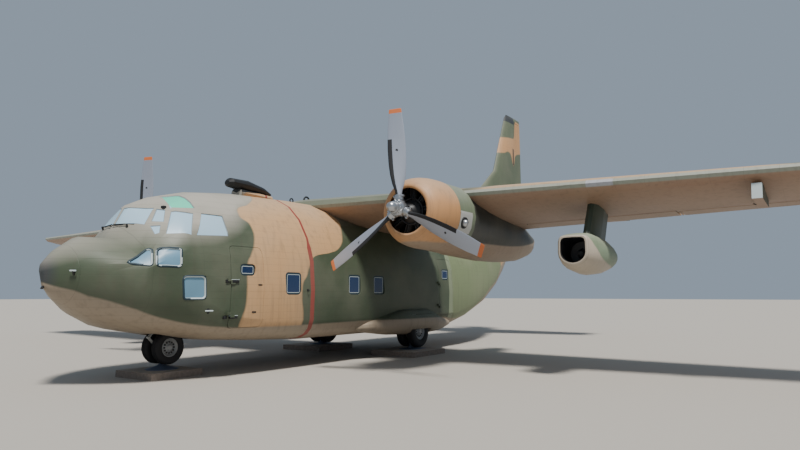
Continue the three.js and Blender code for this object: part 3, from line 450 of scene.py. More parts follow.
# Heights of the belly's edge and of the shoulder above which the green is partly sun-faded and partly painted
# sunlight, each row a y and the height there
BELLY_LINE = [(-11.64, 2.06), (-11.52, 1.99), (-11.40, 1.93), (-11.23, 1.87), (-11.05, 1.77), (-10.81, 1.69),
              (-10.48, 1.56), (-10.12, 1.42), (-9.74, 1.30), (-9.31, 1.20), (-8.55, 1.10), (-7.48, 1.07),
              (-3.08, 1.08), (0.3, 1.06), (1.66, 0.99), (3.06, 1.38), (4.46, 1.98), (5.66, 2.38), (6.56, 3.0),
              (9.5, 3.9)]
FADED_AND_LIT_SHOULDER = [(-11.64, 2.5), (-11.3, 2.66), (-10.9, 2.84), (-10.5, 2.94), (-10.0, 3.02), (-9.3, 3.05),
            (-8.3, 3.3), (-7.0, 3.85), (-4.0, 3.95), (9.6, 4.1)]
# The third value is the y where the painted sunlight on the tail begins.
DARK_TIP_END, PROPELLER_BAND, SUNLIT_TAIL_START = -11.50, -5.99, 1.0
TAIL_STRIP_Y, TAIL_STRIP_TOP = (0.86, 1.12), 3.25
TAIL_PATCH, TAIL_PATCH_RADIUS = (0.0, 7.4, 3.2), 0.95
PLATING, FRAMES = 0.155, 1.02


def hull_pattern(tree, coordinates, x, y, z, _):
    """Each colour is laid over the last, and the port side's patches keep the edges of their tables."""
    drift = noise(tree, coordinates, 0.8, 2.0)
    wander = ramp(tree, drift, 0.0, 1.0, -0.35, 0.35)
    port = above(tree, x, 0.3, 0.5)
    shifted = calculate(tree, "ADD", y, times(tree, wander, less(tree, port)))
    # Aft of that y the green is lighter: painted sunlight on the tail.
    paint = over(tree, above(tree, y, SUNLIT_TAIL_START, 0.01), GREEN, SUNLIT_TAIL_GREEN)
    sand = between(tree, shifted, curve(tree, z, SAND_FRONT), curve(tree, z, SAND_AFT), 0.03)
    paint = over(tree, sand, paint, SAND)
    flat = add(tree, "VectorMath", {0: coordinates, 1: (0, 1, 1)}, operation="MULTIPLY")
    away = add(tree, "VectorMath", {0: flat, 1: TAIL_PATCH}, out="Value", operation="DISTANCE")
    outside = above(tree, calculate(tree, "ADD", away, wander), TAIL_PATCH_RADIUS)
    paint = over(tree, less(tree, outside), paint, SAND)
    upper = above(tree, z, curve(tree, y, BELLY_LINE), 0.02)
    paint = over(tree, less(tree, upper), paint, BELLY)
    tip = times(tree, less(tree, above(tree, y, DARK_TIP_END, 0.07)), upper)
    paint = over(tree, tip, paint, DARK_TIP)
    half = ramp(tree, z, 2.95, 3.10, 0.072, 0.036)
    off = calculate(tree, "ABSOLUTE", calculate(tree, "SUBTRACT", y, PROPELLER_BAND))
    band = less(tree, above(tree, off, half, 0.003))
    paint = over(tree, band, paint, RED)
    low = less(tree, above(tree, z, TAIL_STRIP_TOP, 0.01))
    strip = times(tree, between(tree, y, *TAIL_STRIP_Y, 0.003), upper, low)
    paint = over(tree, strip, paint, TAIL_STRIP)
    laps = calculate(tree, "MAXIMUM", seams(tree, z, PLATING, 0.003), seams(tree, y, FRAMES, 0.004))
    open_paint = times(tree, less(tree, calculate(tree, "MULTIPLY", sand, 0.8)), less(tree, band))
    # Above the shoulder the open green is lighter: partly sun-faded paint, partly painted sunlight.
    faded_and_lit_top = above(tree, z, curve(tree, y, FADED_AND_LIT_SHOULDER), 0.28)
    bleached_and_sunlit = times(tree, open_paint, faded_and_lit_top, ramp(tree, drift, 0.2, 0.6, 0.6, 0.9))
    return paint, laps, bleached_and_sunlit


HULL = camouflage("camouflage_on_fuselage", hull_pattern)
print("fuselage paint", len(HULL.node_tree.nodes), "nodes")

# %% [markdown]
# Wings and tail. The upper sides carry the same green and sand in broad waves, the undersides are
# a warm grey that has browned, and the leading edges are pale. Faces turned up are lighter, partly
# sun-faded and partly painted sunlight.

# %% Wing, tail and nacelle paint
UNDERSIDE = "957a66"
HINGE_GAP = (-1.66, -1.625)
LEAD_Y, LEAD_SWEEP, BARE_PATCH, INNER_GREEN = -4.68, 0.094, (8.07, 8.65), 4.4
RUDDER_SLOT_Y, RUDDER_SLOT_Z = (10.38, 10.60), (8.05, 8.85)
CAP_Z, CAP_AFT, COWL_END, RING_END = 10.08, 10.66, -4.995, -4.20
FIN_BAND_LOW = [(8.6, 8.36), (9.3, 8.44), (9.9, 8.58), (10.2, 8.4), (10.5, 8.02), (10.75, 8.5),
                (11.0, 8.65), (11.7, 8.8)]
FIN_BAND_HIGH = [(8.6, 9.1), (9.3, 9.2), (10.0, 9.3), (10.6, 9.4), (10.72, 9.95), (10.9, 10.3), (11.7, 10.3)]
NACELLE_LINE = [(-6.1, 3.0), (-5.4, 2.98), (-4.5, 3.05), (-3.2, 3.07), (-1.8, 3.10), (-0.3, 3.25), (1.0, 3.5)]
POD_LINE = [(-4.60, 3.14), (-4.45, 3.02), (-4.3, 2.86), (-4.1, 2.70), (-3.9, 2.60), (-3.6, 2.52), (-1.9, 2.44)]


def surface_pattern(tree, coordinates, x, y, _, up, lines=(0.9, 5.0)):
    """Broad waves of green and sand over a brown underside."""
    paint = over(tree, above(tree, noise(tree, coordinates, 0.22, 1.5), 0.5, 0.012), GREEN, SAND)
    paint = over(tree, above(tree, up, -0.12, 0.05), UNDERSIDE, paint)
    return paint, calculate(tree, "MAXIMUM", seams(tree, x, lines[0], 0.004), seams(tree, y, lines[1], 0.004))


def wing_pattern(tree, coordinates, x, y, z, up):
    """The same with a brown hinge gap, a pale leading edge with a bare patch, and green by the hull."""
    paint, lines = surface_pattern(tree, coordinates, x, y, z, up, (0.62, 0.5))
    top = above(tree, up, -0.12, 0.05)
    hinge = times(tree, between(tree, y, *HINGE_GAP, 0.003), less(tree, top))
    paint = over(tree, hinge, paint, "6f4438")
    out = calculate(tree, "ABSOLUTE", x)
    strip = less(tree, above(tree, y, calculate(tree, "MULTIPLY_ADD", out, LEAD_SWEEP, LEAD_Y), 0.01))
    paint = over(tree, strip, paint, "8f958b")
    paint = over(tree, times(tree, strip, between(tree, out, *BARE_PATCH, 0.004)), paint, "a5a9b4")
    inner = times(tree, less(tree, above(tree, out, INNER_GREEN, 0.3)), top)
    return over(tree, inner, paint, "5c6653"), lines


def fin_pattern(tree, coordinates, x, y, z, _):
    """Green fin with one sand band, painted shade in the slot at the rudder's gap and a dark cap."""
    sand = between(tree, z, curve(tree, y, FIN_BAND_LOW), curve(tree, y, FIN_BAND_HIGH), 0.03)
    paint = over(tree, sand, "5d6652", "c29569")
    # The slot at the rudder's gap is near black: painted shade.
    slot = times(tree, between(tree, y, *RUDDER_SLOT_Y, 0.004), between(tree, z, *RUDDER_SLOT_Z, 0.004))
    paint = over(tree, slot, paint, "2c2728")
    cap = times(tree, above(tree, z, CAP_Z, 0.01), less(tree, above(tree, y, CAP_AFT, 0.01)))
    paint = over(tree, cap, paint, "2c3238")
    lines = calculate(tree, "MAXIMUM", seams(tree, z, 0.55, 0.004), seams(tree, y, 0.7, 0.004))
    return paint, lines


def nacelle_pattern(tree, coordinates, x, y, z, _):
    """Sand cowl, green ring with the exhausts, the nacelle behind it near black from exhaust soot and painted
    shadow of the wing, and a warm grey underside.
    """
    # Behind the ring the nacelle is near black: exhaust soot and painted shadow of the wing.
    paint = over(tree, above(tree, y, RING_END, 0.02), "6b7763", "202624")
    paint = over(tree, less(tree, above(tree, y, COWL_END, 0.004)), paint, "bb8c5f")
    upper = above(tree, z, curve(tree, y, NACELLE_LINE), 0.02)
    return over(tree, upper, "93806d", paint), seams(tree, y, 0.85, 0.004)


def pod_pattern(tree, coordinates, x, y, z, _):
    """Green pods; the pale lower paint climbs over the intake lip."""
    upper = above(tree, z, curve(tree, y, POD_LINE), 0.02)
    return over(tree, upper, "b2a797", "76886f"), seams(tree, y, 0.9, 0.004)


WING = camouflage("camouflage_on_wings", wing_pattern)
FLAPS = camouflage("camouflage_on_flaps", surface_pattern)
FIN = camouflage("camouflage_on_fin", fin_pattern, grime=0.2)
NACELLE = camouflage("camouflage_on_nacelles", nacelle_pattern, 0.55)
POD = camouflage("camouflage_on_pods", pod_pattern, 0.5, 0.5, grime=0.15)
print("camouflage on wings, fin, nacelles and pods")

# %% Plain finishes
PYLON = plain("dark_green_pylon_paint", "3a463c", 0.5)
BLACK = plain("black_paint", "17191c", 0.55)
RUBBER = plain("tyre_rubber", "1d1d20", 0.8)
BOOT = plain("rubber_ice_boot", "1b1d21", 0.65)
# The blades' grey is tinted blue: a painted reflection of the sky on the aluminium.
BLADE = plain("aluminium_blade_with_painted_sky_tint", "a9b0be", 0.42, 0.55)
TIP = plain("orange_tip_paint", "cc7040", 0.55)
STEEL = plain("polished_steel", "b5b8bc", 0.3, 0.9)
SILVER = plain("silver_leg_paint", "b9bbb9", 0.45, 0.3)
# The rims' grey is darkened toward how they look in shade: grey paint with painted shade.
SHADED_RIM_GREY = plain("grey_rim_paint_darkened_for_shade", "8b8d8f", 0.5, 0.2)
ENGINE = plain("engine_casting", "3a3b3d", 0.5, 0.6)
GLASS = plain("hazed_acrylic", "a3c0d4", 0.3, IOR=1.49, Specular_IOR_Level=0.35)
# The low panes take a darker, bluer copy of the hazed acrylic: painted shade.
SHADED_LOW_GLASS = plain("hazed_acrylic_in_painted_shade", "6a90a8", 0.35, IOR=1.49, Specular_IOR_Level=0.3)
MINT = plain("green_tinted_acrylic", "62cfb0", 0.25, IOR=1.49)
# The hold windows' dark blue is a painted reflection of the sky in the glass.
BLUE = plain("cabin_glass_painted_sky_reflection", "1e3254", 0.15, IOR=1.49)
BROWN = plain("browned_underside_paint", UNDERSIDE, 0.6)
TEAL = plain("dark_teal_rim_paint", "17303c", 0.6)
# The same pale also serves as a painted highlight on the strap hinges' tops.
PALE = plain("pale_seal_and_painted_highlight", "b4c0c2", 0.6)
FRAME = plain("grey_window_frame", "828d92", 0.5)
NAVY = plain("blue_grey_pedestal_paint", "5a6478", 0.55, 0.1)


def concrete_finish(name):
    """Blotched cast concrete, paler where it faces up."""
    material, tree, shader = finish_of(name, "8a7f71", 0.95)
    coordinates, _, up = place_of(tree)
    grain = noise(tree, coordinates, 14.0, 8.0)
    paint = over(tree, ramp(tree, grain, 0.35, 0.7), "7b6f66", "8d8177")
    paint = over(tree, above(tree, up, 0.6, 0.1), paint, "a0968b")
    relief = add(tree, "Bump", {"Strength": 0.3, "Distance": 0.006, "Height": grain})
    tree.links.new(paint, shader.inputs["Base Color"])
    tree.links.new(relief, shader.inputs["Normal"])
    return material


CONCRETE = concrete_finish("weathered_concrete")
BLACK_METAL = ("airframe", "bare_metal", BLACK)
print("materials", len(bpy.data.materials))

# %% [markdown]
# The CAD pieces with soft shading. Each gets a copy of its mesh with its corners merged, so that
# the facets blend, and the copy stands for the piece.

# %% Soft copies of the CAD pieces
SOFT, COCKPIT_SOFT = 32, 62


def soft_copy(node, slot, material, angle=SOFT):
    source = NODES[node]
    piece = source.copy()
    piece.data = source.data.copy()
    piece.name = node + "_skin"
    piece.parent = None
    for key in list(piece.keys()):
        del piece[key]
    bpy.context.scene.collection.objects.link(piece)
    edit(piece)
    bpy.ops.mesh.remove_doubles(threshold=0.0001)
    object_mode()
    bpy.ops.mesh.customdata_custom_splitnormals_clear()
    return fit(piece, source["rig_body"], slot, material, instead_of=(node,), angle=angle)


# slot, material and pieces, where * stands for left and right
SKINS = [
    ("paint_green", HULL, "nose_cap cockpit_section crew_door hold_front hold_rear tail_section"),
    ("paint_green", HULL, "jump_door_* ramp cargo_door"),
    ("paint_tan", FIN, "fin rudder"),
    ("paint_dark_green", WING, "centre_wing wing_* aileron_* tailplane elevator_*"),
    ("paint_dark_green", NACELLE, "nacelle_*"),
    ("paint_dark_green", PYLON, "jet_pylon_*"),
    ("paint_dark_green", POD, "jet_pod_*"),
    ("paint_grey", FLAPS, "flap_inner_* flap_outer_*"),
    ("paint_grey", HULL, "gear_fairing_*"),
    ("paint_black", BLACK, "roof_fairing"),
    ("window_glass", GLASS, "cockpit_glazing"),
    ("concrete", CONCRETE, "plinth_nose plinth_*"),
    ("leg_steel", SILVER, "nose_fork nose_leg main_leg_*"),
]
skin = {}
for slot, material, names in SKINS:
    for name in names.split():
        for side, _ in SIDES if "*" in name else SIDES[:1]:
            node = name.replace("*", side)
            skin[node] = soft_copy(node, slot, material, COCKPIT_SOFT if node == "cockpit_section" else SOFT)
print("soft copies", len(skin))

# %% [markdown]
# The nose cap butts against the cockpit section, and on the real nose the plating runs on smoothly
# there. The two skins are joined for a moment, and each takes its shading from the joined one.

# %% One shading over the nose seam
NOSE_SEAM = NOSE_TIP + 0.700


def shade_as_one(names, seam):
    """Takes the shading of the joined skins; they keep their own faces."""
    whole = weld([twin(skin[name], name + "_joined") for name in names], "joined_skin")
    cut_away(whole, lambda c, n: abs(c.y - seam) < 0.002 and abs(n.y) > 0.8)
    bpy.ops.mesh.remove_doubles(threshold=0.001)
    object_mode()
    bpy.ops.object.shade_smooth_by_angle(angle=math.radians(COCKPIT_SOFT), keep_sharp_edges=False)
    for name in names:
        modify(skin[name], "DATA_TRANSFER", object=whole, use_loop_data=True,
               data_types_loops={"CUSTOM_NORMAL"}, loop_mapping="NEAREST_POLYNOR")
    bpy.data.objects.remove(whole)


shade_as_one(["nose_cap", "cockpit_section"], NOSE_SEAM)
print("nose seam", len(skin["nose_cap"].data.polygons), len(skin["cockpit_section"].data.polygons))

# %% [markdown]
# Some pieces carry a second paint: the green acrylic pane over the pilots, the foot of the roof
# hood, the pedestals on their slabs, the black throats of the jet pods and the tank pylons.

# %% Second paints
glazing = coat(skin["cockpit_glazing"], MINT)
tag(glazing, 1, lambda c, n: n.z > 0.3 and -9.62 < c.y < -8.85 and c.z > 3.62 - 0.4 * min(c.y + 9.3, 0))
tag(coat(skin["roof_fairing"], HULL), 1, lambda c, n: c.z < 4.42)
SLAB_TOP = 0.152
for name in ("plinth_nose", "plinth_left", "plinth_right"):
    tag(coat(skin[name], NAVY), 1, lambda c, n: c.z > SLAB_TOP)

TANK_PYLON_X, POD_Z = 11.37, 2.75


def on_tank_pylon(c):
    return abs(abs(c.x) - TANK_PYLON_X) < 0.11 and c.z < 4.06


for side, _ in SIDES:
    pod = coat(skin[f"jet_pod_{side}"], BLACK)
    pod_x = sum(v.co.x for v in pod.data.vertices) / len(pod.data.vertices)
    tag(pod, 1, lambda c, n: c.y > -4.52 and n.dot(Vector((c.x - pod_x, 0, c.z - POD_Z))) < 0)
    wing = coat(skin[f"wing_{side}"], PYLON, PALE, BROWN)
    tag(wing, 1, lambda c, n: on_tank_pylon(c) and abs(n.x) > 0.6)
    tag(wing, 2, lambda c, n: on_tank_pylon(c) and n.y < -0.6)
    tag(wing, 3, lambda c, n: on_tank_pylon(c) and c.z < 3.8 and n.z < -0.6)
print("second paints", [paint.name for paint in wing.data.materials])

# %% [markdown]
# Two thin stays run from each tank pylon's inner side to the wing. Each is a rod with a small
# bracket at its foot.

# %% Stays of the tank pylons
FITTING = Vector((0.03, 0.03, 0.03))
# pylon end and wing end of each port stay
STAYS = (((11.29, -1.95, 3.78), (10.90, -1.60, 4.055)), ((11.29, -1.75, 3.76), (10.75, -1.35, 4.05)))
for side, sign in SIDES:
    stays = []
    for foot, head in STAYS:
        foot, head = Vector((sign * foot[0], *foot[1:])), Vector((sign * head[0], *head[1:]))
        stays += [rod("stay", foot, head, 0.010, 8), block("fitting", foot - FITTING, foot + FITTING, 0.01)]
    fit(weld(stays, f"tank_pylon_stays_{side}"), *BLACK_METAL)
print("stays", len(stays) // 2, "a side")

# %% [markdown]
# Windows. The cockpit panes sit a little sunk in their openings, so each gets a round moulding on
# its rim: the pane's own edge is copied as a wire and given thickness, as a rubber and metal strip
# follows the real cut-out. The hold's windows are acrylic with a dark seal and a pale one; their
# dark blue is a painted reflection of the sky.

# %% Window mouldings and hold windows
def rims_of(mesh, test):
    """The sharp outer edges of the panes that pass the test, and the pane faces inside them."""
    faces_at = {}
    for face in mesh.polygons:
        for key in face.edge_keys:
            faces_at.setdefault(key, []).append(face)
    rims, wave = set(), []
    for key, faces in faces_at.items():
        middle = (mesh.vertices[key[0]].co + mesh.vertices[key[1]].co) / 2
        if len(faces) == 2 and test(middle):
            a, b = faces
            away = Vector((middle.x, -0.5, middle.z - 2.2)).normalized()
            outer = max((a, b), key=lambda face: face.normal.dot(away))
            folded = a.normal.dot(b.normal) < 0.8 and (b.center - a.center).dot(a.normal) < 0
            if folded and outer.normal.dot(away) > 0.7:
                rims.add(key)
                wave.append(outer)
    inside = set()
    while wave:
        face = wave.pop()
        if face.index not in inside:
            inside.add(face.index)
            wave += [other for key in face.edge_keys if key not in rims for other in faces_at[key]]
    return rims, inside


def moulding(source, name, radius, test, corner=0.0):
    """A round strip along the rims: their edges as a wire, with rounded corners and thickness."""
    base = twin(source, name)
    rims, _ = rims_of(base.data, test)
    choose(base, "EDGE", lambda edge: tuple(sorted(edge.vertices)) in rims)
    bpy.ops.mesh.duplicate()
    bpy.ops.mesh.separate(type="SELECTED")
    object_mode()
    strip = next(piece for piece in bpy.context.selected_objects if piece != base)
    bpy.data.objects.remove(base)
    if corner:
        next_to = {}
        for edge in strip.data.edges:
            a, b = edge.vertices
            next_to.setdefault(a, []).append(b)
            next_to.setdefault(b, []).append(a)
        spots = [v.co for v in strip.data.vertices]
        turns = {i for i, ends in next_to.items()
                 if len(ends) == 2 and (spots[ends[0]] - spots[i]).angle(spots[ends[1]] - spots[i]) < 2.6}
        choose(strip, "VERT", lambda vertex: vertex.index in turns)
        bpy.ops.mesh.bevel(offset=corner, affect="VERTICES", segments=4)
        object_mode()
    activate(strip)
    bpy.ops.object.convert(target="CURVE")
    strip.data.bevel_depth = radius
    strip.data.bevel_resolution = 2
    bpy.ops.object.convert(target="MESH")
    strip = bpy.context.object
    strip.name = name
    strip.data.materials.clear()
    outward(strip)
    return strip


def give_selected(piece, index):
    """The faces selected in edit mode take another of the piece's materials."""
    object_mode()
    for face in piece.data.polygons:
        if face.select:
            face.material_index = index
    edit_mode()


def ring_on(piece, wide, ring, middle):
    """An inset border on the selected faces: the border takes one material and the middle another."""
    give_selected(piece, ring)
    bpy.ops.mesh.inset(thickness=wide)
    give_selected(piece, middle)


def high_panes(c):
    return c.z > 3.0 and c.y < -8.42


def low_panes(c):
    return 1.6 < c.z < 2.85 and -10.8 < c.y < -9.04


thin = moulding(glazing, "cockpit_window_strips", 0.013, high_panes)
fit(thin, "airframe", "bare_metal", FRAME, angle=60)
thick = moulding(glazing, "low_window_strips", 0.030, low_panes, corner=0.085)
fit(thick, "airframe", "bare_metal", TEAL, angle=60)
# The low panes' faces take the darker copy of the acrylic, painted shade.
coat(glazing, SHADED_LOW_GLASS)
_, inside = rims_of(glazing.data, low_panes)
for index in inside:
    glazing.data.polygons[index].material_index = 2

# The side of each thick strip that faces the middle of its own pane is the pale seal.
LOW_MIDDLES = [(-10.27, 2.55), (-9.87, 2.54), (-9.365, 1.94)]


def faces_middle(c, n):
    middle = min((Vector((c.x, y, z)) for y, z in LOW_MIDDLES), key=lambda spot: (spot - c).length)
    return n.dot((middle - c).normalized()) > 0.3


tag(coat(thick, PALE), 1, faces_middle)
print("mouldings", len(thin.data.polygons), len(thick.data.polygons), "faces")

# %% Hold windows
GAP = 0.0006
SEAL, PALE_SEAL = 0.045, 0.014


def hold_window(name, body, side, x, y, z, corner):
    """A rounded pane with a dark seal and a pale one round it; x, y and z are its two ends on the port side."""
    low = (min(side * x[0], side * x[1]), y[0] + GAP, z[0] + GAP)
    high = (max(side * x[0], side * x[1]), y[1] - GAP, z[1] - GAP)
    # The pane's dark blue is a painted sky reflection.
    pane = coat(block(name, low, high, corner, 5, across=0), BLUE, TEAL, PALE)
    pick(pane, lambda c, n: n.x * side > 0.99)
    ring_on(pane, SEAL, 1, 2)
    ring_on(pane, PALE_SEAL, 2, 0)
    object_mode()
    return fit(pane, body, "window_glass")


hold_window("crew_door_window", "crew_door", 1, (1.745, 1.768), (-8.270, -7.840), (2.21, 2.47), 0.079)
for word, side in SIDES:
    for i, y in enumerate(((-6.920, -6.390), (-4.560, -4.040), (-3.440, -2.920))):
        hold_window(f"hold_window_{i + 1}_{word}", "airframe", side, (1.805, 1.835), y, (1.79, 2.32), 0.089)
    hold_window(f"jump_door_window_{word}", f"jump_door_{word}", side,
                (1.788, 1.812), (0.420, 0.860), (2.27, 2.62), 0.079)
print("hold windows done")

# %% [markdown]
# Small fittings on the fuselage: probes, wiper, strap hinges, lifting loops and a hook. Each is small
# bars and plates bent out of tube or sheet, so rods and bevelled blocks are joined for each one.

# %% Small fittings
def probe(name, spot, normal, reach, head):
    """A dark blade that stands off the skin with a pale bar along its top, on a small foot plate."""
    spot, normal = Vector(spot), Vector(normal).normalized()
    foot = place(stack("foot", 16, [(-0.01, 0.035), (0.006, 0.035), (0.010, 0.025)]), along(spot, spot + normal))
    tip = spot + normal * reach
    stem = rod("stem", spot - Vector((0, 0, 0.07)), tip, 0.020, 10)
    flat = Vector((-normal.y, normal.x, 0)).normalized() * head
    tube = rod("tube", tip + flat, tip - flat, 0.016, 10)
    pieces = [coat(foot, BLACK), coat(stem, BLACK), coat(tube, PALE)]
    return fit(weld(pieces, name), "airframe", "bare_metal")


probe("nose_probe", (0.560, -11.290, 2.240), (0.64, -0.76, 0.12), 0.06, 0.06)
for name, sign in (("side_probe", 1), ("side_probe_right", -1)):
    probe(name, (sign * 1.676, -9.030, 1.478), (sign * 0.92, -0.25, -0.31), 0.06, 0.085)
for side, sign in SIDES:
    arm = rod("arm", (sign * 0.03, -10.235, 3.235), (sign * 0.44, -10.165, 3.235), 0.008, 8)
    rubber = rod("rubber", (sign * 0.02, -10.215, 3.262), (sign * 0.56, -10.075, 3.252), 0.011, 8)
    pivot = rod("pivot", (sign * 0.44, -10.155, 3.18), (sign * 0.44, -10.175, 3.25), 0.022, 12)
    fit(weld([arm, rubber, pivot], f"wiper_{side}"), *BLACK_METAL)
fit(block("sun_visor_box", (0.74, -9.60, 3.615), (0.84, -9.52, 3.675), 0.012), *BLACK_METAL)
# height of the hinge, and the skin's x ahead of the door and on it
for z, front, aft in ((2.08, 1.774, 1.800), (1.31, 1.728, 1.774)):
    mark = round(z * 100)
    fit(block(f"crew_door_strap_front_{mark}", (front - 0.03, -8.672, z - 0.035),
              (front + 0.035, -8.590, z + 0.035), 0.012), *BLACK_METAL)
    strap = block("strap", (aft - 0.03, -8.540, z - 0.030), (aft + 0.030, -8.330, z + 0.030), 0.012)
    # The pale strip along the strap's top is a painted highlight.
    edge = block("edge", (aft - 0.03, -8.550, z + 0.030), (aft + 0.034, -8.330, z + 0.042), 0.003)
    fit(weld([coat(strap, BLACK), coat(edge, PALE)], f"crew_door_strap_aft_{mark}"), "crew_door", "bare_metal")
# The handle and latch are black blocks that stand for their dark recesses: painted shade.
for name, (x, y, z) in (("handle", (1.822, -7.72, 2.01)), ("latch", (1.800, -7.87, 1.41))):
    fit(block(f"crew_door_{name}", (x - 0.03, y - 0.06, z - 0.018), (x + 0.02, y + 0.06, z + 0.018), 0.01),
        "crew_door", "bare_metal", BLACK)


def roof_loop(name, y, foot_z, rise, radius, wire):
    """An upright ring across the roof on a round foot."""
    ring = place(ring_of("ring", radius, wire, 32), move(0, y, foot_z + rise) @ turn(90, "Y"))
    foot = place(stack("foot", 16, [(-0.03, 0.045), (0.0, 0.045), (0.006, 0.035)]),
                 move(0, y, foot_z + rise - radius))
    return fit(weld([ring, foot], name), *BLACK_METAL)


roof_loop("roof_ring", -4.226, 4.385, 0.11, 0.11, 0.026)
roof_loop("roof_loop", -4.850, 4.375, 0.05, 0.06, 0.018)
hook = ring_of("hook", 0.035, 0.008, 24)
cut_away(hook, lambda c, n: c.x > -0.005 and c.y > 0.010)
bpy.ops.mesh.fill_holes(sides=0)
object_mode()
place(hook, move(1.885, -6.17, 1.90))
plate = block("hook_plate", (1.850, -6.205, 1.875), (1.873, -6.135, 1.925), 0.004)
fit(weld([hook, plate], "tie_hook"), *BLACK_METAL)
# The slot in the lower nose is a black block: painted shade of its opening.
nose_slot = place(block("nose_slot", (-0.035, -0.065, -0.02), (0.035, 0.065, 0.012), 0.01),
                  move(0.012, -11.572, 1.962) @ turn(58, "X"))
fit(nose_slot, *BLACK_METAL)
print("fittings done")

# %% [markdown]
# Propellers. A blade is a long rounded form whose chord, thickness and pitch follow a table from
# the hub out; the black rubber boot covers the inner leading edge and the tip is orange, with a
# small dark spot between them. The hub is a turned barrel with three sockets and a dome in front.

# %% Propeller blades
HUB_Y, HUB_Z, ENGINE_X = -6.2955, 3.698, 4.638
BOOT_START, BOOT_END, TIP_START, SPOT_HEIGHT = 0.31, 1.58, 2.186, 1.32
THIRDS = [turn(degrees, "Y") for degrees in (0, 120, 240)]
# height from the hub centre, half chord, half thickness, pitch
BLADE_ROWS = [
    (0.150, 0.066, 0.066, 50), (0.300, 0.066, 0.064, 49), (0.400, 0.088, 0.050, 47), (0.550, 0.138, 0.042, 43),
    (0.750, 0.176, 0.033, 39), (1.000, 0.198, 0.027, 34), (1.350, 0.207, 0.021, 29), (1.600, 0.200, 0.018, 25),
    (1.900, 0.181, 0.014, 21), (2.185, 0.152, 0.009, 18), (2.260, 0.147, 0.007, 17), (2.280, 0.141, 0.006, 17),
    (2.285, 0.128, 0.004, 17),
]


def blade_value(z, column):
    """One column of the blade's table at any height."""
    a, b = next(pair for pair in zip(BLADE_ROWS, BLADE_ROWS[1:]) if z <= pair[1][0] + 1e-5)
    return a[column] + (b[column] - a[column]) * (z - a[0]) / (b[0] - a[0])


blade = coat(stack("blade", 36, [row[:3] for row in BLADE_ROWS]), BLADE, BOOT, TIP)
edit(blade)
bpy.ops.mesh.bisect(plane_co=(0, 0, BOOT_END), plane_no=(0, 0, 1))
object_mode()
tag(blade, 2, lambda c, n: c.z > TIP_START)
tag(blade, 1, lambda c, n: BOOT_START < c.z < BOOT_END and c.x < -0.44 * blade_value(c.z, 1))
for vertex in blade.data.vertices:
    vertex.co = turn(blade_value(vertex.co.z, 3), "Z") @ vertex.co
dark_spot = place(stack("balance_mark", 20, [(0.0, 0.030), (0.0012, 0.030)]),
                  move(0, 0, SPOT_HEIGHT) @ turn(29, "Z") @ along((0, -0.0208, 0), (0, -1, 0)))
blade = weld([blade, coat(dark_spot, BOOT)], "blade")
blades = repeat(blade, "blades", THIRDS)
print("blade of", len(BLADE_ROWS), "sections")

# %% Propeller hubs
dome = stack("dome", 36, [
    (-0.130, 0.110), (-0.125, 0.150), (0.0, 0.188), (0.10, 0.186), (0.14, 0.170), (0.150, 0.140), (0.20, 0.124),
    (0.205, 0.134), (0.235, 0.134), (0.24, 0.118), (0.33, 0.112), (0.38, 0.094), (0.405, 0.070), (0.420, 0.040),
    (0.425, 0.012)])
place(dome, along((0, 0, 0), (0, -1, 0)))
clamp = [stack("socket", 24, [(0.05, 0.098), (0.18, 0.098), (0.185, 0.112), (0.235, 0.112), (0.24, 0.098),
                              (0.30, 0.094), (0.31, 0.075)])]
for _, sign in SIDES:
    for level in (0.13, 0.27):
        lug = block("clamp_lug", (sign * 0.085, -0.03, level - 0.022), (sign * 0.135, 0.03, level + 0.022), 0.008)
        stud = place(stack("stud", 6, [(-0.05, 0.012), (0.05, 0.012), (0.055, 0.008)]),
                     along((sign * 0.113, 0, level), (sign * 0.113, -1, level)))
        clamp += [lug, stud]
sockets = repeat(weld(clamp, "socket"), "sockets", THIRDS)
bolt = stack("bolt", 6, [(0, 0.013), (0.018, 0.013), (0.022, 0.009)])
in_ring = along((0.155, -0.135, 0), (0.155, -1, 0))
bolts = repeat(bolt, "bolts", [turn(degrees, "Y") @ in_ring for degrees in range(0, 360, 30)])
hub = weld([dome, sockets, bolts], "hub")
PHASES = {"left": -3, "right": 0}
for side, sign in SIDES:
    body = f"propeller_{side}"
    spot = move(sign * ENGINE_X, HUB_Y, HUB_Z) @ turn(PHASES[side], "Y")
    fit(twin(blades, f"{body}_blades", spot), body, "bare_metal", instead_of=(body,), angle=50)
    fit(twin(hub, f"{body}_hub", spot), body, "bare_metal", STEEL, angle=30)
for used in (blades, hub):
    bpy.data.objects.remove(used)
print("propellers done")

# %% [markdown]
# Cowls and engines. The cowl is a turned shell: a rounded lip, a long barrel and a thin trailing
# edge, hollow to show the engine. Each cylinder is a barrel with thin cooling fins, and two staggered
# rows of them stand round the crankcase behind the reduction gear.

# %% Cowls and engines
COWL_Y, COWL_Z = -6.0205, 3.68
COWL_ROWS = [
    (1.024, 0.800), (0.60, 0.800), (0.36, 0.770), (0.22, 0.690), (0.13, 0.590), (0.06, 0.535), (0.025, 0.520),
    (0.004, 0.545), (0.002, 0.565), (0.012, 0.600), (0.06, 0.655), (0.14, 0.715), (0.25, 0.771), (0.42, 0.808),
    (0.62, 0.830), (0.80, 0.838), (1.024, 0.839),
]
CASE_ROWS = [(0.04, 0.110), (0.05, 0.125), (0.10, 0.150), (0.16, 0.215), (0.20, 0.255), (0.24, 0.262),
             (0.25, 0.285), (0.27, 0.285), (0.28, 0.262), (0.70, 0.270), (0.80, 0.33), (0.95, 0.33)]
CYLINDERS, COOLING_FINS = 9, 15
AFT = along((0, 0, 0), (0, 1, 0))


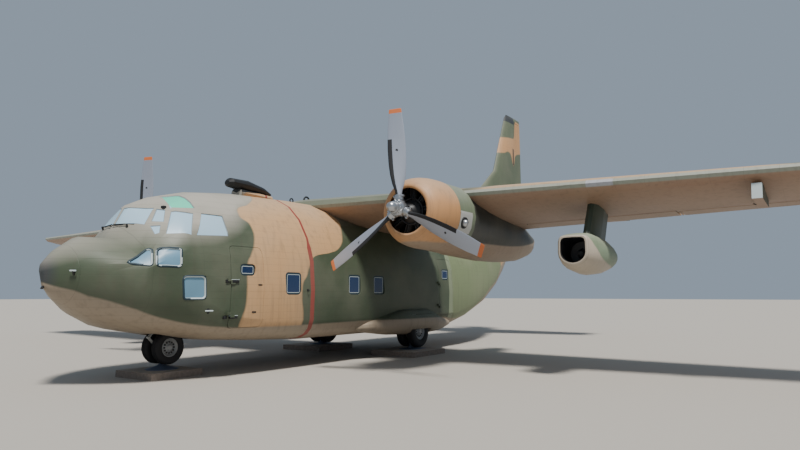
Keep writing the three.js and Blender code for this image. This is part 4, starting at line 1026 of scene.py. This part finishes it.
def engine_mesh(name):
    """Two rows of finned cylinders round a case, with push rods, an ignition ring and a wall behind."""
    rows = [(0.24, 0.085)]
    for i in range(COOLING_FINS):
        z = 0.26 + i * 0.022
        rows += [(z, 0.082), (z + 0.002, 0.112), (z + 0.008, 0.112), (z + 0.010, 0.082)]
    rows += [(0.60, 0.082), (0.605, 0.10), (0.635, 0.09), (0.640, 0.05)]
    spots = [move(0, y, 0) @ turn(start + 40 * i, "Y")
             for y, start in ((0.36, 0), (0.60, 20)) for i in range(CYLINDERS)]
    cylinders = repeat(stack("cylinder", 20, rows), "cylinders", spots)
    case = place(stack("case", 40, CASE_ROWS), AFT)
    wall = place(stack("firewall", 40, [(0.80, 0.30), (0.82, 0.795), (0.96, 0.795)]), AFT)
    push = []
    for i in range(CYLINDERS):
        for spread in (-7, 7):
            a = math.radians(40 * i + spread)
            b = math.radians(40 * i + spread * 0.55)
            push.append(rod("push", (0.22 * math.sin(a), 0.24, 0.22 * math.cos(a)),
                            (0.60 * math.sin(b), 0.26, 0.60 * math.cos(b)), 0.013, 8))
    harness = place(ring_of("harness", 0.30, 0.016, 48), move(0, 0.22, 0) @ turn(90, "X"))
    return weld([cylinders, case, wall, harness, *push], name)


for side, sign in SIDES:
    centre = Vector((sign * ENGINE_X, COWL_Y, COWL_Z))
    cowl = stack(f"cowl_{side}_skin", 64, COWL_ROWS)
    bridge(cowl, lambda c, n: c.z > 1.02 and abs(n.z) > 0.9, lambda c, d: c.z > 1.02 and abs(d.z) < 0.1)
    place(cowl, along(centre, centre + Vector((0, 1, 0))))
    fit(cowl, "airframe", "paint_tan", NACELLE, instead_of=(f"cowl_{side}",), angle=40)
    engine = place(engine_mesh(f"engine_{side}_detail"), move(*centre))
    fit(engine, "airframe", "engine_metal", ENGINE, instead_of=(f"engine_{side}",), angle=30)
print("engines", len(engine.data.polygons), "faces each")

# %% [markdown]
# Exhausts. Each nacelle side has a bare doubler plate behind the cowl with a dark recess and the
# rounded end of the exhaust stack in it. The plate is a patch of the nacelle's own skin, cut out by
# planes and thickened outward, so that it follows the curve as sheet metal would.

# %% Exhaust plates
PLATE_Y, PLATE_Z = (-4.985, -4.40), (3.23, 3.73)
BALL_ROWS = [(-0.03, 0.088), (0.040, 0.088), (0.075, 0.080), (0.100, 0.062), (0.115, 0.038), (0.120, 0.012)]


def patch(source, name, keep, thick):
    """A raised plate: the faces of a skin that pass the test, cut to size in y and z and thickened."""
    plate = twin(source, name)
    cut_away(plate, lambda c, n: not keep(c, n))
    for axis, ends in ((1, PLATE_Y), (2, PLATE_Z)):
        for at, inward in zip(ends, (1, -1)):
            spot, normal = Vector(), Vector()
            spot[axis], normal[axis] = at, inward
            bpy.ops.mesh.bisect(plane_co=spot, plane_no=normal, clear_inner=True)
            bpy.ops.mesh.select_all(action="SELECT")
    object_mode()
    modify(plate, "SOLIDIFY", thickness=thick, offset=1.0)
    plate.data.materials.clear()
    return plate


for side, sign in SIDES:
    x = sign * ENGINE_X
    for word, out in (("outer", sign), ("inner", -sign)):
        plate = patch(skin[f"nacelle_{side}"], f"exhaust_plate_{side}_{word}",
                      lambda c, n: n.x * out > 0.3 and c.y < -4.2 and (c.x - x) * out > 0.6, 0.010)
        fit(plate, "airframe", "bare_metal", SILVER, angle=30)
        centre = Vector((x + out * 0.815, -4.80, 3.46))
        aim = along(centre, centre + Vector((out, -0.1, -0.28)))
        recess = place(stack("recess", 32, [(-0.05, 0.135), (0.022, 0.135), (0.026, 0.128)]), aim)
        ball = place(stack("ball", 28, BALL_ROWS), aim)
        fit(weld([coat(recess, BLACK), coat(ball, STEEL)], f"exhaust_{side}_{word}"),
            "airframe", "bare_metal", angle=40)
print("exhaust plates done")

# %% [markdown]
# Wheels. A tyre is a ring pushed from bead to bead over its crown with shallow grooves; a rim is a
# dished disc with a ring of round holes.

# %% Tyres and rims
NOSE = {"x": 0.0, "y": -8.8705, "z": 0.63, "radius": 0.370, "half": 0.110, "rim": 0.205, "spread": 0.180}
MAIN = {"x": 1.795, "y": -1.3305, "z": 0.68, "radius": 0.480, "half": 0.1225, "rim": 0.250, "spread": 0.190}


def tyre_mesh(name, size):
    """A ring turned from bead to bead over its crown, with five shallow grooves."""
    r, h, rim = size["radius"] - 0.001, size["half"], size["rim"]
    rows = [(-h * 0.72, rim), (-h * 0.9, rim + 0.03), (-h * 0.985, rim + (r - rim) * 0.45),
            (-h * 0.95, rim + (r - rim) * 0.75), (-h * 0.78, r * 0.965), (-h * 0.62, r * 0.985)]
    for i in range(-2, 3):
        at = i * h * 0.24
        rows += [(at - 0.006, r), (at - 0.005, r - 0.010), (at + 0.005, r - 0.010), (at + 0.006, r)]
    rows += [(-z, radius) for z, radius in reversed(rows[:6])]
    tyre = stack(name, 56, rows)
    bridge(tyre, lambda c, n: math.hypot(c.x, c.y) < 0.01,
           lambda c, d: abs(math.hypot(c.x, c.y) - rim) < 0.004 and abs(d.z) < 0.1)
    return tyre


def rim_mesh(name, size):
    """A dished disc, turned in one piece."""
    r, h = size["rim"] - 0.001, size["half"]
    rows = [(-h * 0.80, r * 0.10), (-h * 0.78, r * 0.26), (-h * 0.62, r * 0.30), (-h * 0.42, r * 0.45),
            (-h * 0.30, r * 0.72), (-h * 0.55, r - 0.03), (-h * 0.72, r - 0.012), (-h * 0.70, r)]
    return stack(name, 48, rows + [(0.0, r)] + [(-z, radius) for z, radius in reversed(rows)])


def rim_holes(name, size, spot):
    """Dark round plugs in the dish, as the real holes look into the dark."""
    deep, reach = size["half"], size["rim"] * 0.60
    hole = stack("hole", 14, [(deep * 0.2, 0.020), (deep * 0.5, 0.020), (deep * 0.51, 0.012)])
    return repeat(hole, name, [
        spot @ turn(face, "X") @ move(reach * math.cos(math.radians(a)), reach * math.sin(math.radians(a)), 0)
        for face in (0, 180) for a in range(0, 360, 30)])


def wheels(body, size, sign, names):
    """A pair of wheels on one axle; its middle lies at x on the side that the sign gives."""
    x, y, z, span = sign * size["x"], size["y"], size["z"], size["spread"]
    for word, out in SIDES:
        spot = move(x + out * span, y, z) @ turn(90, "Y")
        tyre = place(tyre_mesh(f"{names}_tyre_{word}_rubber", size), spot)
        fit(tyre, body, "tyre_rubber", RUBBER, instead_of=(f"{names}_tyre_{word}",), angle=35)
        rim = place(rim_mesh(f"{names}_rim_{word}", size), spot)
        # The rim takes the grey that is darkened as painted shade.
        fit(rim, body, "bare_metal", SHADED_RIM_GREY, instead_of=(f"{names}_wheels",) if word == "left" else (), angle=30)
        fit(rim_holes(f"{names}_rim_{word}_holes", size, spot), body, "bare_metal", BLACK)
    axle = rod(f"{names}_axle", (x - span, y, z), (x + span, y, z), 0.04, 20, 0.004)
    fit(axle, body, "bare_metal", STEEL)


wheels("nose_wheel_set", NOSE, 1, "nose")
for side, sign in SIDES:
    wheels(f"main_wheel_set_{side}", MAIN, sign, f"main_{side}")
print("wheels done")

# %% Torque links of the nose leg
links = []
for x in (-0.045, 0.045):
    links.append(rod("link", (x, -9.10, 1.02), (x * 0.6, -9.25, 0.86), 0.016, 10))
    links.append(rod("link", (x * 0.6, -9.25, 0.86), (x, -9.06, 0.68), 0.016, 10))
links.append(rod("hinge", (-0.055, -9.25, 0.86), (0.055, -9.25, 0.86), 0.022, 12))
links.append(rod("lug", (-0.075, -9.055, 0.665), (0.075, -9.055, 0.665), 0.026, 12))
fit(weld(links, "nose_torque_links"), NODES["nose_fork"]["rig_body"], "leg_steel", SILVER)
print("torque links", len(links) - 2, "arms")

# %% [markdown]
# The camera stands where the photographer stood, worked out from the aircraft's own size. The floor
# is dull dry ground, and a hazy sun stands high ahead on the port side.

# %% Camera, floor and lights
CAMERA_SPOT, CAMERA_TURN = (12.3768, -17.8411, 1.8186), (96.185, 0, 33.777)
LENS, SENSOR = 28.453, 36
FLOOR_WIDTH = 400
TOWARDS_SUN, SUN_WIDTH, SUN_STRENGTH, SKY_STRENGTH = (0.42, -0.30, 1.0), 9, 5.1, 0.5
SCENE = bpy.context.scene

camera = bpy.data.objects.new("camera", bpy.data.cameras.new("camera"))
camera.location = CAMERA_SPOT
camera.rotation_euler = [math.radians(angle) for angle in CAMERA_TURN]
camera.data.lens = LENS
camera.data.sensor_width = SENSOR
camera.data.clip_end = 500
SCENE.camera = camera

deselect()
bpy.ops.mesh.primitive_plane_add(size=FLOOR_WIDTH)
floor = coat(bpy.context.object, plain("dry_ground_floor", "aba69e", 0.85))
floor.name = "floor"

sun = bpy.data.objects.new("key", bpy.data.lights.new("key", "SUN"))
sun.data.energy = SUN_STRENGTH
sun.data.angle = math.radians(SUN_WIDTH)
sun.data.color = (1.0, 0.96, 0.9)
sun.rotation_euler = Vector(TOWARDS_SUN).to_track_quat("Z", "Y").to_euler()
for thing in (camera, sun):
    SCENE.collection.objects.link(thing)

SCENE.world = bpy.data.worlds.new("studio")
SCENE.world.use_nodes = True
sky = SCENE.world.node_tree.nodes["Background"]
sky.inputs[0].default_value = colour("c3d6ea")
sky.inputs[1].default_value = SKY_STRENGTH
print("camera, floor, sun and sky")
